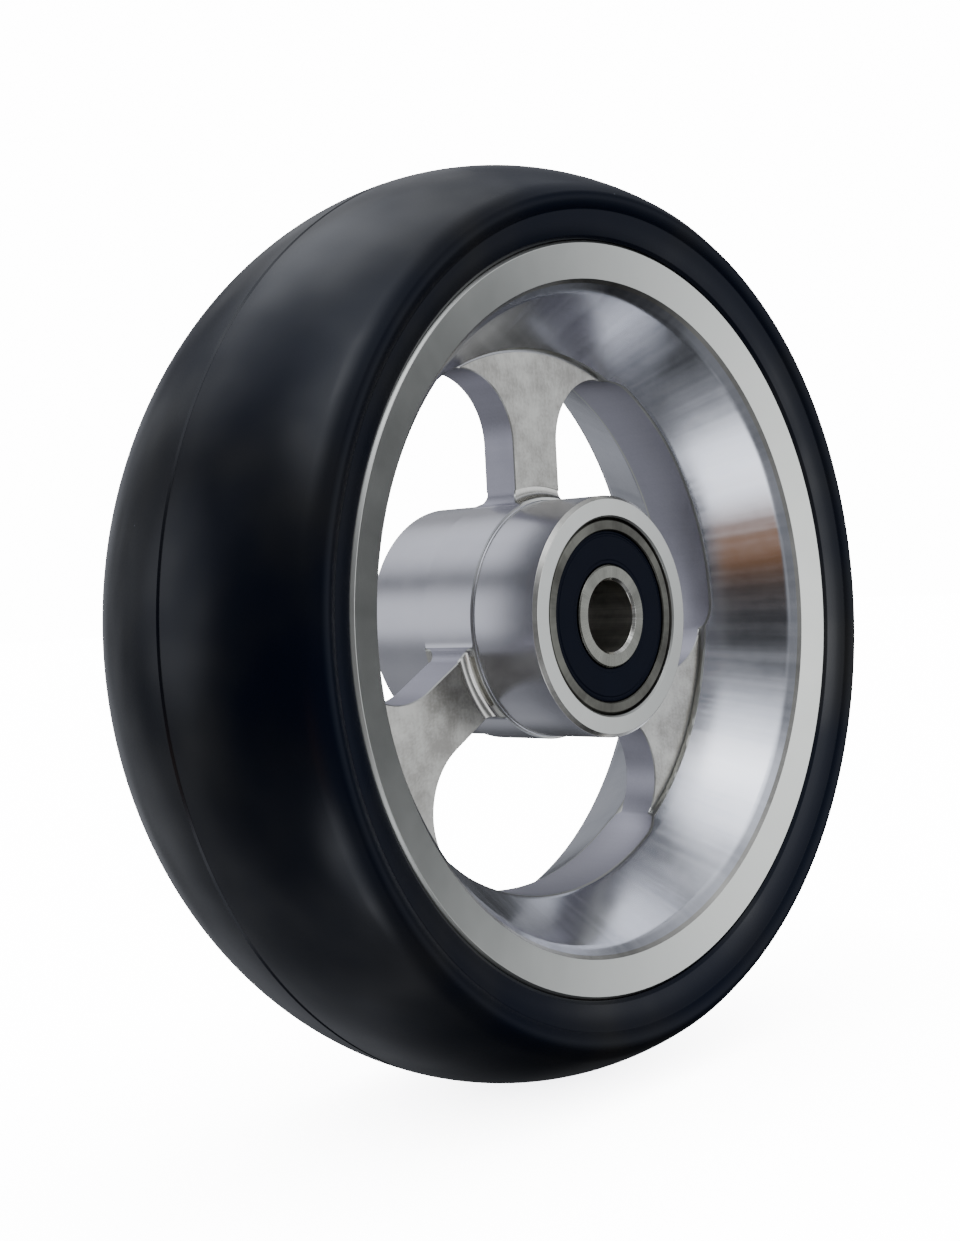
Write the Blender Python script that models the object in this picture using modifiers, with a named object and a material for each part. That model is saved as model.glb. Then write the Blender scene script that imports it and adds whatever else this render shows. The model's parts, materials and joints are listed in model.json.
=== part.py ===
"""Wheelchair caster wheel: a soft-roll tyre on a three-spoke aluminium rim with two ball bearings.

Units are metres and +Z is up. The origin is the middle of the wheel and the axle runs along Y.
Each sub-part is one named object. Turned pieces are half sections, (radius, axial) points, swept
round the axle by a Screw modifier, and the wheel is the same on both sides.
"""
import math

import bmesh
import bpy
from mathutils import Matrix, Vector

MM = 0.001

# ---- rim: outer ring ----
RIM_RADIUS = 41.4 * MM            # outer edge of the face
RIM_HALF_WIDTH = 14.8 * MM        # at the outer edge of the face
RIM_EDGE_CHAMFER = 0.35 * MM
RIM_FACE_WIDTH = 4.5 * MM         # from the outer edge of the face to its inner edge
RIM_FACE_DISH = 1.0 * MM          # the inner edge lies this much deeper
RIM_LIP_CHAMFER = 0.4 * MM        # at the inner edge
CHANNEL_DEPTH = 2.6 * MM          # of the channel round the outside, which locks the tyre
CHANNEL_FLANGE = 2.6 * MM         # thickness of each flange at its outer edge
CHANNEL_DRAFT = 0.4 * MM          # the channel narrows this much towards its floor
BARREL_LIP = 0.8 * MM             # the inner barrel is this much smaller than the face's inner edge
BARREL_LIP_DEPTH = 1.3 * MM       # and reaches that size this far below it
BARREL_STEP = 0.8 * MM            # the barrel ends this far above the spokes' faces

# ---- tyre ----
TYRE_DEPTH = 10.4 * MM            # from the rim's edge to the crown
TYRE_CROWN_DROP = 5.4 * MM        # from the crown to the shoulder
TYRE_OVERHANG = 1.9 * MM          # the shoulder stands this far outside the rim's edge
TYRE_SHOULDER_ROUND = 1.0 * MM    # corner between tread and sidewall
TYRE_FIT = 0.05 * MM              # gap between the cast tyre and the rim

# ---- rim: spokes and the windows between them ----
SPOKES = 3
FIRST_SPOKE_ANGLE = 90.0          # degrees, from +X towards +Z
SPOKE_WIDTH = 7.7 * MM
SPOKE_THICKNESS = 4.6 * MM
WINDOW_MARGIN = 10.0 * MM         # from the windows to the outer edge of the rim's face
WINDOW_CUT = 0.4 * MM             # the cut goes this far into the barrel's root
WINDOW_OUTER_CORNER = 8.0 * MM
WINDOW_INNER_CORNER = 2.2 * MM

# ---- ball bearing, size 608 ----
BEARING_RADIUS = 11.0 * MM
BEARING_BORE_RADIUS = 4.0 * MM
BEARING_WIDTH = 7.0 * MM
BEARING_RECESS = 0.3 * MM         # below the hub's end face
BEARING_FIT = 0.06 * MM           # gap in the seat
BEARING_CHAMFER = 0.3 * MM
BALLS = 7
BALL_RADIUS = 1.93 * MM
BALL_PLAY = 0.08 * MM             # between a ball and the bottom of its raceway
GROOVE_CLEARANCE = 0.12 * MM      # a raceway's cross-section is this much wider than a ball
LAND_HEIGHT = 1.4 * MM            # from the pitch circle to the lands beside the raceways
SEAL_SEAT_HEIGHT = 2.1 * MM       # from the pitch circle to the seal's seat in the outer ring
SEAL_SEAT_DEPTH = 1.1 * MM
INNER_STEP_HEIGHT = 1.75 * MM     # from the pitch circle to the inner ring's stepped ends
SEAL_THICKNESS = 0.6 * MM
SEAL_RECESS = 0.2 * MM            # below the bearing's face
SEAL_GAP = 0.06 * MM              # at both edges of the seal
CAGE_THICKNESS = 1.5 * MM         # in the radial direction
CAGE_BACK_WALL = 0.2 * MM         # behind the pockets, on the closed side
CAGE_FRONT = 0.9 * MM             # open side, which the balls snap in through
POCKET_CLEARANCE = 0.09 * MM

# ---- rim: hub barrel ----
HUB_HALF_LENGTH = 12.6 * MM
HUB_WALL = 2.44 * MM              # round the bearing seats
HUB_CHAMFER = 0.4 * MM
SEAT_SHOULDER = 1.46 * MM         # height of the step that each bearing is pressed against
COLLAR_REACH = 0.45 * MM          # the collar at the root of the spokes stands this far outside the hub
COLLAR_HEIGHT = 1.4 * MM          # above the spokes' faces
COLLAR_FILLET = 1.0 * MM          # hollow round, down to the spokes' faces
COLLAR_CUT = 0.1 * MM             # the windows are cut this far into the collar
BARREL_CHAMFER = 0.25 * MM        # at the foot of the barrel's step

# ---- spacer between the inner rings ----
SPACER_WALL = 1.5 * MM
SPACER_FIT = 0.1 * MM             # its bore is this much larger than the bearing's
SPACER_END_GAP = 0.05 * MM

# ---- facets ----
RIM_STEPS = 48
BEARING_STEPS = 32
SPACER_STEPS = 24
BALL_SEGMENTS = 12
BALL_RINGS = 7
POCKET_SEGMENTS = 12
POCKET_RINGS = 8

# ---- worked out from the sizes above ----
RIM_LIP_RADIUS = RIM_RADIUS - RIM_FACE_WIDTH
RIM_LIP_HALF_WIDTH = RIM_HALF_WIDTH - RIM_FACE_DISH
CHANNEL_RADIUS = RIM_RADIUS - CHANNEL_DEPTH
CHANNEL_HALF_WIDTH = RIM_HALF_WIDTH - CHANNEL_FLANGE
WINDOW_OUTER_RADIUS = RIM_RADIUS - WINDOW_MARGIN
BARREL_ROOT_RADIUS = WINDOW_OUTER_RADIUS - WINDOW_CUT
SPOKE_FACE = SPOKE_THICKNESS / 2

TYRE_RADIUS = RIM_RADIUS + TYRE_DEPTH
TYRE_HALF_WIDTH = RIM_HALF_WIDTH + TYRE_OVERHANG

HALF_BEARING = BEARING_WIDTH / 2
BEARING_CENTRE = HUB_HALF_LENGTH - BEARING_RECESS - HALF_BEARING
BALL_PITCH_RADIUS = (BEARING_RADIUS + BEARING_BORE_RADIUS) / 2
GROOVE_RADIUS = BALL_RADIUS + GROOVE_CLEARANCE
FLAT_REACH = math.cos(math.pi / BEARING_STEPS)    # from the axis to a facet's middle, as a share of the radius
OUTER_RACE_RADIUS = (BALL_PITCH_RADIUS + BALL_RADIUS + BALL_PLAY) / FLAT_REACH
INNER_RACE_RADIUS = BALL_PITCH_RADIUS - BALL_RADIUS - BALL_PLAY
OUTER_LAND_RADIUS = BALL_PITCH_RADIUS + LAND_HEIGHT
INNER_LAND_RADIUS = BALL_PITCH_RADIUS - LAND_HEIGHT
SEAL_SEAT_RADIUS = BALL_PITCH_RADIUS + SEAL_SEAT_HEIGHT
INNER_STEP_RADIUS = BALL_PITCH_RADIUS - INNER_STEP_HEIGHT
SEAL_CENTRE = HALF_BEARING - SEAL_RECESS - SEAL_THICKNESS / 2
POCKET_RADIUS = BALL_RADIUS + POCKET_CLEARANCE
CAGE_BACK = POCKET_RADIUS + CAGE_BACK_WALL

SEAT_RADIUS = BEARING_RADIUS + BEARING_FIT
SEAT_FLOOR = BEARING_CENTRE - HALF_BEARING - BEARING_FIT
HUB_BORE_RADIUS = SEAT_RADIUS - SEAT_SHOULDER
HUB_RADIUS = SEAT_RADIUS + HUB_WALL
COLLAR_RADIUS = HUB_RADIUS + COLLAR_REACH
COLLAR_TOP = SPOKE_FACE + COLLAR_HEIGHT
WINDOW_INNER_RADIUS = COLLAR_RADIUS - COLLAR_CUT

SPACER_BORE_RADIUS = BEARING_BORE_RADIUS + SPACER_FIT
SPACER_RADIUS = SPACER_BORE_RADIUS + SPACER_WALL

PARTS = "caster_wheel"
CUTTERS = "caster_wheel_cutters"

# finish: base colour, roughness, metallic
FINISHES = {
    "polyurethane": ((0.012, 0.014, 0.022, 1.0), 0.22, 0.0),
    "aluminium": ((0.62, 0.62, 0.60, 1.0), 0.28, 1.0),
    "bearing_steel": ((0.42, 0.41, 0.38, 1.0), 0.25, 1.0),
    "ball_steel": ((0.60, 0.60, 0.60, 1.0), 0.08, 1.0),
    "seal_rubber": ((0.012, 0.015, 0.025, 1.0), 0.45, 0.0),
    "cage_nylon": ((0.72, 0.68, 0.55, 1.0), 0.45, 0.0),
    "spacer_aluminium": ((0.55, 0.55, 0.56, 1.0), 0.35, 1.0),
}


# ---- scene helpers ----

def clear_scene():
    """Remove every object, and the collections of an earlier run."""
    for old in list(bpy.data.objects):
        bpy.data.objects.remove(old, do_unlink=True)
    for name in (PARTS, CUTTERS):
        if name in bpy.data.collections:
            bpy.data.collections.remove(bpy.data.collections[name])


def new_collection(name):
    """Make a collection and link it to the scene."""
    collection = bpy.data.collections.new(name)
    bpy.context.scene.collection.children.link(collection)
    return collection


def finish_material(name):
    """Return the Principled material of one finish, made on first use."""
    material = bpy.data.materials.get(name)
    if material is None:
        colour, roughness, metallic = FINISHES[name]
        material = bpy.data.materials.new(name)
        material.use_nodes = True
        shader = material.node_tree.nodes["Principled BSDF"]
        shader.inputs["Base Color"].default_value = colour
        shader.inputs["Roughness"].default_value = roughness
        shader.inputs["Metallic"].default_value = metallic
    return material


def new_empty(name, parent=None, axial=0.0):
    """Add an empty on the axle, which other objects hang from."""
    empty = bpy.data.objects.new(name, None)
    bpy.data.collections[PARTS].objects.link(empty)
    empty.parent = parent
    empty.location = (0.0, axial, 0.0)
    return empty


def new_part(name, mesh, finish, parent):
    """Link one mesh as a named part under its parent."""
    part = bpy.data.objects.new(name, mesh)
    bpy.data.collections[PARTS].objects.link(part)
    part.parent = parent
    if not mesh.materials:
        mesh.materials.append(finish_material(finish))
    return part


def new_cutter(name, mesh):
    """Link one mesh as a cutter, which is neither rendered nor built."""
    cutter = bpy.data.objects.new(name, mesh)
    bpy.data.collections[CUTTERS].objects.link(cutter)
    cutter.hide_render = True
    cutter.display_type = "WIRE"
    return cutter


def cut(part, cutter):
    """Subtract a cutter from a part with a Boolean modifier."""
    boolean = part.modifiers.new(cutter.name, "BOOLEAN")
    boolean.operation = "DIFFERENCE"
    boolean.solver = "EXACT"
    boolean.object = cutter


# ---- turned sections ----

def arc(centre, radius, start, end, count):
    """Points on an arc in the (radius, axial) plane, from start to end in degrees, ends included."""
    points = []
    for i in range(count + 1):
        angle = math.radians(start + (end - start) * i / count)
        points.append((centre[0] + radius * math.cos(angle), centre[1] + radius * math.sin(angle)))
    return points


def both_sides(half):
    """Close a section that is the same on both sides.

    half runs over the axial > 0 side, from the outer surface round to the inner one.
    """
    return [(radius, axial) for radius, axial in reversed(half)] + [(r, -a) for r, a in half]


def turned(name, section, finish, parent, steps):
    """Sweep a closed section round the axle and smooth its facets."""
    mesh = bpy.data.meshes.new(name)
    corners = [(radius, axial, 0.0) for radius, axial in section]
    edges = [(i, (i + 1) % len(corners)) for i in range(len(corners))]
    mesh.from_pydata(corners, edges, [])
    part = new_part(name, mesh, finish, parent)
    screw = part.modifiers.new("turn", "SCREW")
    screw.axis = "Y"
    screw.angle = math.tau
    screw.steps = steps
    screw.render_steps = steps
    screw.use_merge_vertices = True
    screw.merge_threshold = 0.01 * MM
    screw.use_smooth_shade = True
    return part


# ---- tyre ----

def tread_radius(axial):
    """Radius of the crowned tread at an axial place: the crown is one arc."""
    bow = (TYRE_HALF_WIDTH ** 2 + TYRE_CROWN_DROP ** 2) / (2 * TYRE_CROWN_DROP)
    return TYRE_RADIUS - bow + math.sqrt(bow ** 2 - axial ** 2)


def tyre_section():
    """Crowned tread, round shoulder, leaning sidewall, and a foot that fills the rim's channel."""
    tread_points = 6
    tread_end = TYRE_HALF_WIDTH - TYRE_SHOULDER_ROUND * 0.5
    half = []
    for i in range(tread_points + 1):
        axial = tread_end * (i + 0.5) / (tread_points + 0.5)
        half.append((tread_radius(axial), axial))
    corner = (tread_radius(tread_end) - TYRE_SHOULDER_ROUND, TYRE_HALF_WIDTH - TYRE_SHOULDER_ROUND)
    half += arc(corner, TYRE_SHOULDER_ROUND, 45.0, 90.0, 1)
    seat = RIM_RADIUS + TYRE_FIT
    channel = CHANNEL_HALF_WIDTH - TYRE_FIT
    half += [
        (seat, RIM_HALF_WIDTH),
        (seat, channel),
        (CHANNEL_RADIUS + TYRE_FIT, channel - CHANNEL_DRAFT),
    ]
    return both_sides(half)


# ---- rim ----

def rim_section():
    """Rim ring, web and hub barrel in one section, with the tyre's channel and the bearing seats."""
    half = [
        (CHANNEL_RADIUS, CHANNEL_HALF_WIDTH - CHANNEL_DRAFT),
        (RIM_RADIUS, CHANNEL_HALF_WIDTH),
        (RIM_RADIUS, RIM_HALF_WIDTH - RIM_EDGE_CHAMFER),
        (RIM_RADIUS - RIM_EDGE_CHAMFER, RIM_HALF_WIDTH),
        (RIM_LIP_RADIUS + RIM_LIP_CHAMFER, RIM_LIP_HALF_WIDTH),
        (RIM_LIP_RADIUS, RIM_LIP_HALF_WIDTH - RIM_LIP_CHAMFER),
        (RIM_LIP_RADIUS - BARREL_LIP, RIM_LIP_HALF_WIDTH - BARREL_LIP_DEPTH),
        (BARREL_ROOT_RADIUS, SPOKE_FACE + BARREL_STEP),
        (BARREL_ROOT_RADIUS - BARREL_CHAMFER, SPOKE_FACE),
    ]
    half += arc((COLLAR_RADIUS + COLLAR_FILLET, SPOKE_FACE + COLLAR_FILLET), COLLAR_FILLET, 270.0, 180.0, 3)
    half += [
        (COLLAR_RADIUS, COLLAR_TOP),
        (HUB_RADIUS, COLLAR_TOP),
        (HUB_RADIUS, HUB_HALF_LENGTH - HUB_CHAMFER),
        (HUB_RADIUS - HUB_CHAMFER, HUB_HALF_LENGTH),
        (SEAT_RADIUS + HUB_CHAMFER / 2, HUB_HALF_LENGTH),
        (SEAT_RADIUS, HUB_HALF_LENGTH - HUB_CHAMFER / 2),
        (SEAT_RADIUS, SEAT_FLOOR),
        (HUB_BORE_RADIUS, SEAT_FLOOR),
    ]
    return both_sides(half)


def window_corner(circle, corner, outside):
    """One rounded corner of a window that opens along +X, next to the spoke above it.

    The arc touches the spoke's side and a circle round the axle. It runs from the side to the
    circle, and lies inside the circle (outside=False) or outside it.
    """
    half_pitch = math.pi / SPOKES
    along = Vector((math.cos(half_pitch), math.sin(half_pitch)))
    into_window = Vector((math.sin(half_pitch), -math.cos(half_pitch)))
    reach = circle + corner if outside else circle - corner
    offset = SPOKE_WIDTH / 2 + corner
    centre = along * math.sqrt(reach ** 2 - offset ** 2) + into_window * offset
    to_side = -into_window
    to_circle = centre.normalized() * (-1.0 if outside else 1.0)
    sweep = math.atan2(to_side.x * to_circle.y - to_side.y * to_circle.x, to_side.dot(to_circle))
    steps = 3 if outside else 5
    return [centre + Matrix.Rotation(sweep * i / steps, 2) @ to_side * corner for i in range(steps + 1)]


def window_outline():
    """Closed outline of a window that opens along +X, as 2D points."""
    inner = window_corner(WINDOW_INNER_RADIUS, WINDOW_INNER_CORNER, True)
    outer = window_corner(WINDOW_OUTER_RADIUS, WINDOW_OUTER_CORNER, False)
    side = inner[::-1] + outer
    outline = list(side)
    outline += circle_between(outer[-1], 10)
    outline += [Vector((point.x, -point.y)) for point in reversed(side)]
    outline += [Vector((point.x, -point.y)) for point in circle_between(inner[-1], 8)]
    return outline


def circle_between(point, count):
    """Points on the circle through a point, from it to its mirror image below the X axis."""
    radius = point.length
    start = math.atan2(point.y, point.x)
    angles = [start * (1 - 2 * i / count) for i in range(1, count)]
    return [Vector((radius * math.cos(angle), radius * math.sin(angle))) for angle in angles]


def window_cutter(index):
    """Extruded window outline, turned to its place between two spokes."""
    name = f"window_{index + 1}"
    curve = bpy.data.curves.new(name, "CURVE")
    curve.dimensions = "2D"
    curve.fill_mode = "BOTH"
    curve.extrude = RIM_HALF_WIDTH
    outline = window_outline()
    spline = curve.splines.new("POLY")
    spline.points.add(len(outline) - 1)
    for place, point in zip(spline.points, outline):
        place.co = (point.x, point.y, 0.0, 1.0)
    spline.use_cyclic_u = True
    shape = bpy.data.objects.new(name + "_outline", curve)
    bpy.data.collections[CUTTERS].objects.link(shape)
    angle = math.radians(FIRST_SPOKE_ANGLE + 360.0 / SPOKES * (index + 0.5))
    shape.matrix_world = Matrix.Rotation(-angle, 4, "Y") @ Matrix.Rotation(math.radians(90.0), 4, "X")
    bpy.context.view_layer.update()
    evaluated = shape.evaluated_get(bpy.context.evaluated_depsgraph_get())
    mesh = bpy.data.meshes.new_from_object(evaluated)
    solid = bmesh.new()
    solid.from_mesh(mesh)
    bmesh.ops.remove_doubles(solid, verts=solid.verts, dist=0.001 * MM)
    solid.to_mesh(mesh)
    solid.free()
    cutter = new_cutter(name, mesh)
    cutter.matrix_world = shape.matrix_world.copy()
    bpy.data.objects.remove(shape, do_unlink=True)
    return cutter


def build_rim(parent):
    """Turn the rim, then cut its windows."""
    rim = turned("rim", rim_section(), "aluminium", parent, RIM_STEPS)
    for index in range(SPOKES):
        cut(rim, window_cutter(index))
    return rim


# ---- bearings ----

def groove(race_radius, outward):
    """Points across a raceway, from its axial > 0 edge to the other; outward is +1 on the outer ring."""
    centre = race_radius - outward * GROOVE_RADIUS
    land = OUTER_LAND_RADIUS if outward > 0 else INNER_LAND_RADIUS
    edge = math.degrees(math.acos(abs(land - centre) / GROOVE_RADIUS))
    steps = 4
    if outward > 0:
        return arc((centre, 0.0), GROOVE_RADIUS, edge, -edge, steps)
    return arc((centre, 0.0), GROOVE_RADIUS, 180.0 - edge, 180.0 + edge, steps)


def outer_ring_section():
    """Outer ring: chamfered outside, raceway, and a seal seat at each end."""
    step = HALF_BEARING - SEAL_SEAT_DEPTH
    outside = [
        (BEARING_RADIUS - BEARING_CHAMFER, HALF_BEARING),
        (BEARING_RADIUS, HALF_BEARING - BEARING_CHAMFER),
        (BEARING_RADIUS, BEARING_CHAMFER - HALF_BEARING),
        (BEARING_RADIUS - BEARING_CHAMFER, -HALF_BEARING),
    ]
    lower = [(SEAL_SEAT_RADIUS, -HALF_BEARING), (SEAL_SEAT_RADIUS, -step), (OUTER_LAND_RADIUS, -step)]
    upper = [(radius, -axial) for radius, axial in reversed(lower)]
    return outside + lower + groove(OUTER_RACE_RADIUS, 1)[::-1] + upper


def inner_ring_section():
    """Inner ring: stepped ends under the seals, raceway, and a chamfered bore."""
    step = HALF_BEARING - SEAL_SEAT_DEPTH
    upper = [(INNER_STEP_RADIUS, HALF_BEARING), (INNER_STEP_RADIUS, step), (INNER_LAND_RADIUS, step)]
    lower = [(radius, -axial) for radius, axial in reversed(upper)]
    bore = [
        (BEARING_BORE_RADIUS + BEARING_CHAMFER, -HALF_BEARING),
        (BEARING_BORE_RADIUS, BEARING_CHAMFER - HALF_BEARING),
        (BEARING_BORE_RADIUS, HALF_BEARING - BEARING_CHAMFER),
        (BEARING_BORE_RADIUS + BEARING_CHAMFER, HALF_BEARING),
    ]
    return upper + groove(INNER_RACE_RADIUS, -1) + lower + bore


def washer_section(inner, outer, low, high):
    """Rectangular section of a flat ring or a sleeve."""
    return [(outer, high), (outer, low), (inner, low), (inner, high)]


def sphere_mesh(name, radius, segments, rings, centres):
    """Mesh with one ball at each centre."""
    mesh = bpy.data.meshes.new(name)
    balls = bmesh.new()
    for centre in centres:
        bmesh.ops.create_uvsphere(
            balls, u_segments=segments, v_segments=rings, radius=radius, matrix=Matrix.Translation(centre))
    balls.to_mesh(mesh)
    balls.free()
    mesh.shade_smooth()
    return mesh


def ball_places():
    """Centres of the balls round the axle, the first one at the top."""
    places = []
    for i in range(BALLS):
        angle = math.tau * i / BALLS
        places.append(Vector((BALL_PITCH_RADIUS * math.sin(angle), 0.0, BALL_PITCH_RADIUS * math.cos(angle))))
    return places


def build_cage(side, outboard, parent, axial):
    """Crown cage: a ring with a pocket for each ball, closed towards the outboard side."""
    ends = sorted((outboard * CAGE_BACK, -outboard * CAGE_FRONT))
    half = CAGE_THICKNESS / 2
    section = washer_section(BALL_PITCH_RADIUS - half, BALL_PITCH_RADIUS + half, ends[0], ends[1])
    cage = turned(side + "_cage", section, "cage_nylon", parent, BEARING_STEPS)
    mesh = sphere_mesh(side + "_pockets", POCKET_RADIUS, POCKET_SEGMENTS, POCKET_RINGS, ball_places())
    cutter = new_cutter(side + "_pockets", mesh)
    cutter.location = (0.0, axial, 0.0)
    cut(cage, cutter)


def build_bearing(side, outboard, wheel, axle):
    """One bearing; outboard is -1 at the front (-Y) and +1 at the rear."""
    axial = outboard * BEARING_CENTRE
    outer_ring = turned(side + "_outer_ring", outer_ring_section(), "bearing_steel", wheel, BEARING_STEPS)
    inner_ring = turned(side + "_inner_ring", inner_ring_section(), "bearing_steel", axle, BEARING_STEPS)
    for ring in (outer_ring, inner_ring):
        ring.location = (0.0, axial, 0.0)
    half = SEAL_THICKNESS / 2
    section = washer_section(INNER_STEP_RADIUS + SEAL_GAP, SEAL_SEAT_RADIUS - SEAL_GAP, -half, half)
    for place, direction in (("outboard", outboard), ("inboard", -outboard)):
        seal = turned(f"{side}_{place}_seal", section, "seal_rubber", wheel, BEARING_STEPS)
        seal.location = (0.0, axial + direction * SEAL_CENTRE, 0.0)
    cage_axis = new_empty(side + "_cage_axis", axle, axial)
    build_cage(side, outboard, cage_axis, axial)
    ball_mesh = sphere_mesh(side + "_ball", BALL_RADIUS, BALL_SEGMENTS, BALL_RINGS, [Vector()])
    for i, place in enumerate(ball_places()):
        ball = new_part(f"{side}_ball_{i + 1}", ball_mesh, "ball_steel", cage_axis)
        ball.location = place


def build_spacer(axle):
    """Sleeve that carries the axle's clamping force from one inner ring to the other."""
    half = BEARING_CENTRE - HALF_BEARING - SPACER_END_GAP
    section = washer_section(SPACER_BORE_RADIUS, SPACER_RADIUS, -half, half)
    turned("bearing_spacer", section, "spacer_aluminium", axle, SPACER_STEPS)


def main():
    """Build the wheel."""
    clear_scene()
    new_collection(PARTS)
    new_collection(CUTTERS).hide_render = True
    axle = new_empty("axle_side")
    wheel = new_empty("wheel_axis", axle)
    turned("tyre", tyre_section(), "polyurethane", wheel, RIM_STEPS)
    build_rim(wheel)
    build_bearing("front", -1, wheel, axle)
    build_bearing("rear", 1, wheel, axle)
    build_spacer(axle)


main()
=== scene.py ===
"""Looks of a wheelchair caster wheel: a cast tyre on a turned and milled rim, with two ball bearings.

Every piece is made in millimetres round its own Z axis and then laid on the axle, which runs along the
world's Y axis, so that a piece's +Z end is the rear one. The sections are lists of (radius, axial)
corners. What the CAD frame knows, such as the overall sizes, is read from the frame.
"""

import json
import logging
import math
from dataclasses import dataclass, field
from enum import Enum, IntEnum, StrEnum

import bmesh
import bpy
from mathutils import Matrix, Vector
from mathutils.geometry import delaunay_2d_cdt


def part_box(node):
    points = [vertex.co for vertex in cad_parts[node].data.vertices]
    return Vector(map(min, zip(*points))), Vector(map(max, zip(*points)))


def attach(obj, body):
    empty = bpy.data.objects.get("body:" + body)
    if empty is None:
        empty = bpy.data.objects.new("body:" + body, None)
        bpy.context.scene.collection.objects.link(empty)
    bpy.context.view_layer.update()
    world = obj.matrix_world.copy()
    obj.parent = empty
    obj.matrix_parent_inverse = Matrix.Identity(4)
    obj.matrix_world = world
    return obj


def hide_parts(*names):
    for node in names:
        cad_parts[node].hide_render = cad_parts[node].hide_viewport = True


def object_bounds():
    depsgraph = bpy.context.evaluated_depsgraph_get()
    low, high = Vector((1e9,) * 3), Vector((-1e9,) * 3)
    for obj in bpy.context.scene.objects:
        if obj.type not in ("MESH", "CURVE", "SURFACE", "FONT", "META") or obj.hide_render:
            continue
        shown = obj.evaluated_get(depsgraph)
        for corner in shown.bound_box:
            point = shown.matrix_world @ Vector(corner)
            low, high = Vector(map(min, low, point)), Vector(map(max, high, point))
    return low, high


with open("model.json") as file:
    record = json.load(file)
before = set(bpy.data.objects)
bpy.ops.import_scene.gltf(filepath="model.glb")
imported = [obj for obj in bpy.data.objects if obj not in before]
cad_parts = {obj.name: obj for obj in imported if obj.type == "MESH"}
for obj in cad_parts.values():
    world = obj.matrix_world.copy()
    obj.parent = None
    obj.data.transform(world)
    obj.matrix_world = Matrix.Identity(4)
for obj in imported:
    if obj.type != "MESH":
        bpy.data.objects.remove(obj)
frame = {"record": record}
CAD_BOX = [list(corner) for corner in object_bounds()]

log = logging.getLogger("caster_wheel")

MM = 0.001
WELD = 2e-6                 # metres; points nearer than this are one point
Colour = tuple[float, float, float]
Point = tuple[float, float]
Place = tuple[float, float, float]
Face = tuple[int, ...]
Steps = tuple[int, int]


class Body(StrEnum):
    """CAD bodies that the pieces ride on; each ball has one of its own as well."""

    AXLE_SIDE = "axle_side"
    WHEEL = "wheel"
    FRONT_CAGE = "front_cage"
    REAR_CAGE = "rear_cage"


class Side(Enum):
    """Ends of the hub; the value is the axial direction out of the wheel."""

    FRONT = -1
    REAR = 1

    @property
    def label(self) -> str:
        """Name used in the names of nodes and pieces."""
        return self.name.lower()


# ---- shader maths ----

MIX_FACTOR, MIX_LOW, MIX_HIGH = 0, 6, 7     # inputs of a Mix node for colours, and its output
MIX_RESULT = 2
SPECK_CORE = 0.3            # share of a speck's radius inside which it is full


class Term:
    """A number socket in a shader, which takes part in ordinary arithmetic."""

    def __init__(self, graph: "Graph", socket: bpy.types.NodeSocket) -> None:
        """Wrap an output socket of a graph."""
        self.graph = graph
        self.socket = socket

    def _math(self, operation: str, *operands: "Term | float") -> "Term":
        """Add one Math node and return its result."""
        node = self.graph.node("ShaderNodeMath", {"operation": operation}, dict(enumerate(operands)))
        return Term(self.graph, node.outputs[0])

    def __add__(self, other: "Term | float") -> "Term":
        """self + other."""
        return self._math("ADD", self, other)

    def __radd__(self, other: float) -> "Term":
        """other + self."""
        return self._math("ADD", other, self)

    def __sub__(self, other: "Term | float") -> "Term":
        """self - other."""
        return self._math("SUBTRACT", self, other)

    def __rsub__(self, other: float) -> "Term":
        """other - self."""
        return self._math("SUBTRACT", other, self)

    def __mul__(self, other: "Term | float") -> "Term":
        """self * other."""
        return self._math("MULTIPLY", self, other)

    def __rmul__(self, other: float) -> "Term":
        """other * self."""
        return self._math("MULTIPLY", other, self)

    def __truediv__(self, other: "Term | float") -> "Term":
        """self / other."""
        return self._math("DIVIDE", self, other)

    def __rtruediv__(self, other: float) -> "Term":
        """other / self."""
        return self._math("DIVIDE", other, self)

    def __pow__(self, other: "Term | float") -> "Term":
        """self ** other."""
        return self._math("POWER", self, other)

    def sine(self) -> "Term":
        """Sine of the value in radians."""
        return self._math("SINE", self)

    def turn_from(self, across: "Term") -> "Term":
        """Angle in radians of the point that lies this far up and so far across."""
        return self._math("ARCTAN2", self, across)

    def magnitude(self) -> "Term":
        """Value without its sign."""
        return self._math("ABSOLUTE", self)

    def step(self, low: float, high: float) -> "Term":
        """Smooth step from 0 at low to 1 at high.

        Args:
            low: value where the step starts.
            high: value where the step ends; it may be the smaller one.

        Returns:
            The step as a term.
        """
        settings = {"interpolation_type": "SMOOTHSTEP"}
        if low < high:
            node = self.graph.node("ShaderNodeMapRange", settings, {0: self, 1: low, 2: high})
            return Term(self.graph, node.outputs[0])
        return 1 - self.step(high, low)


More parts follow.
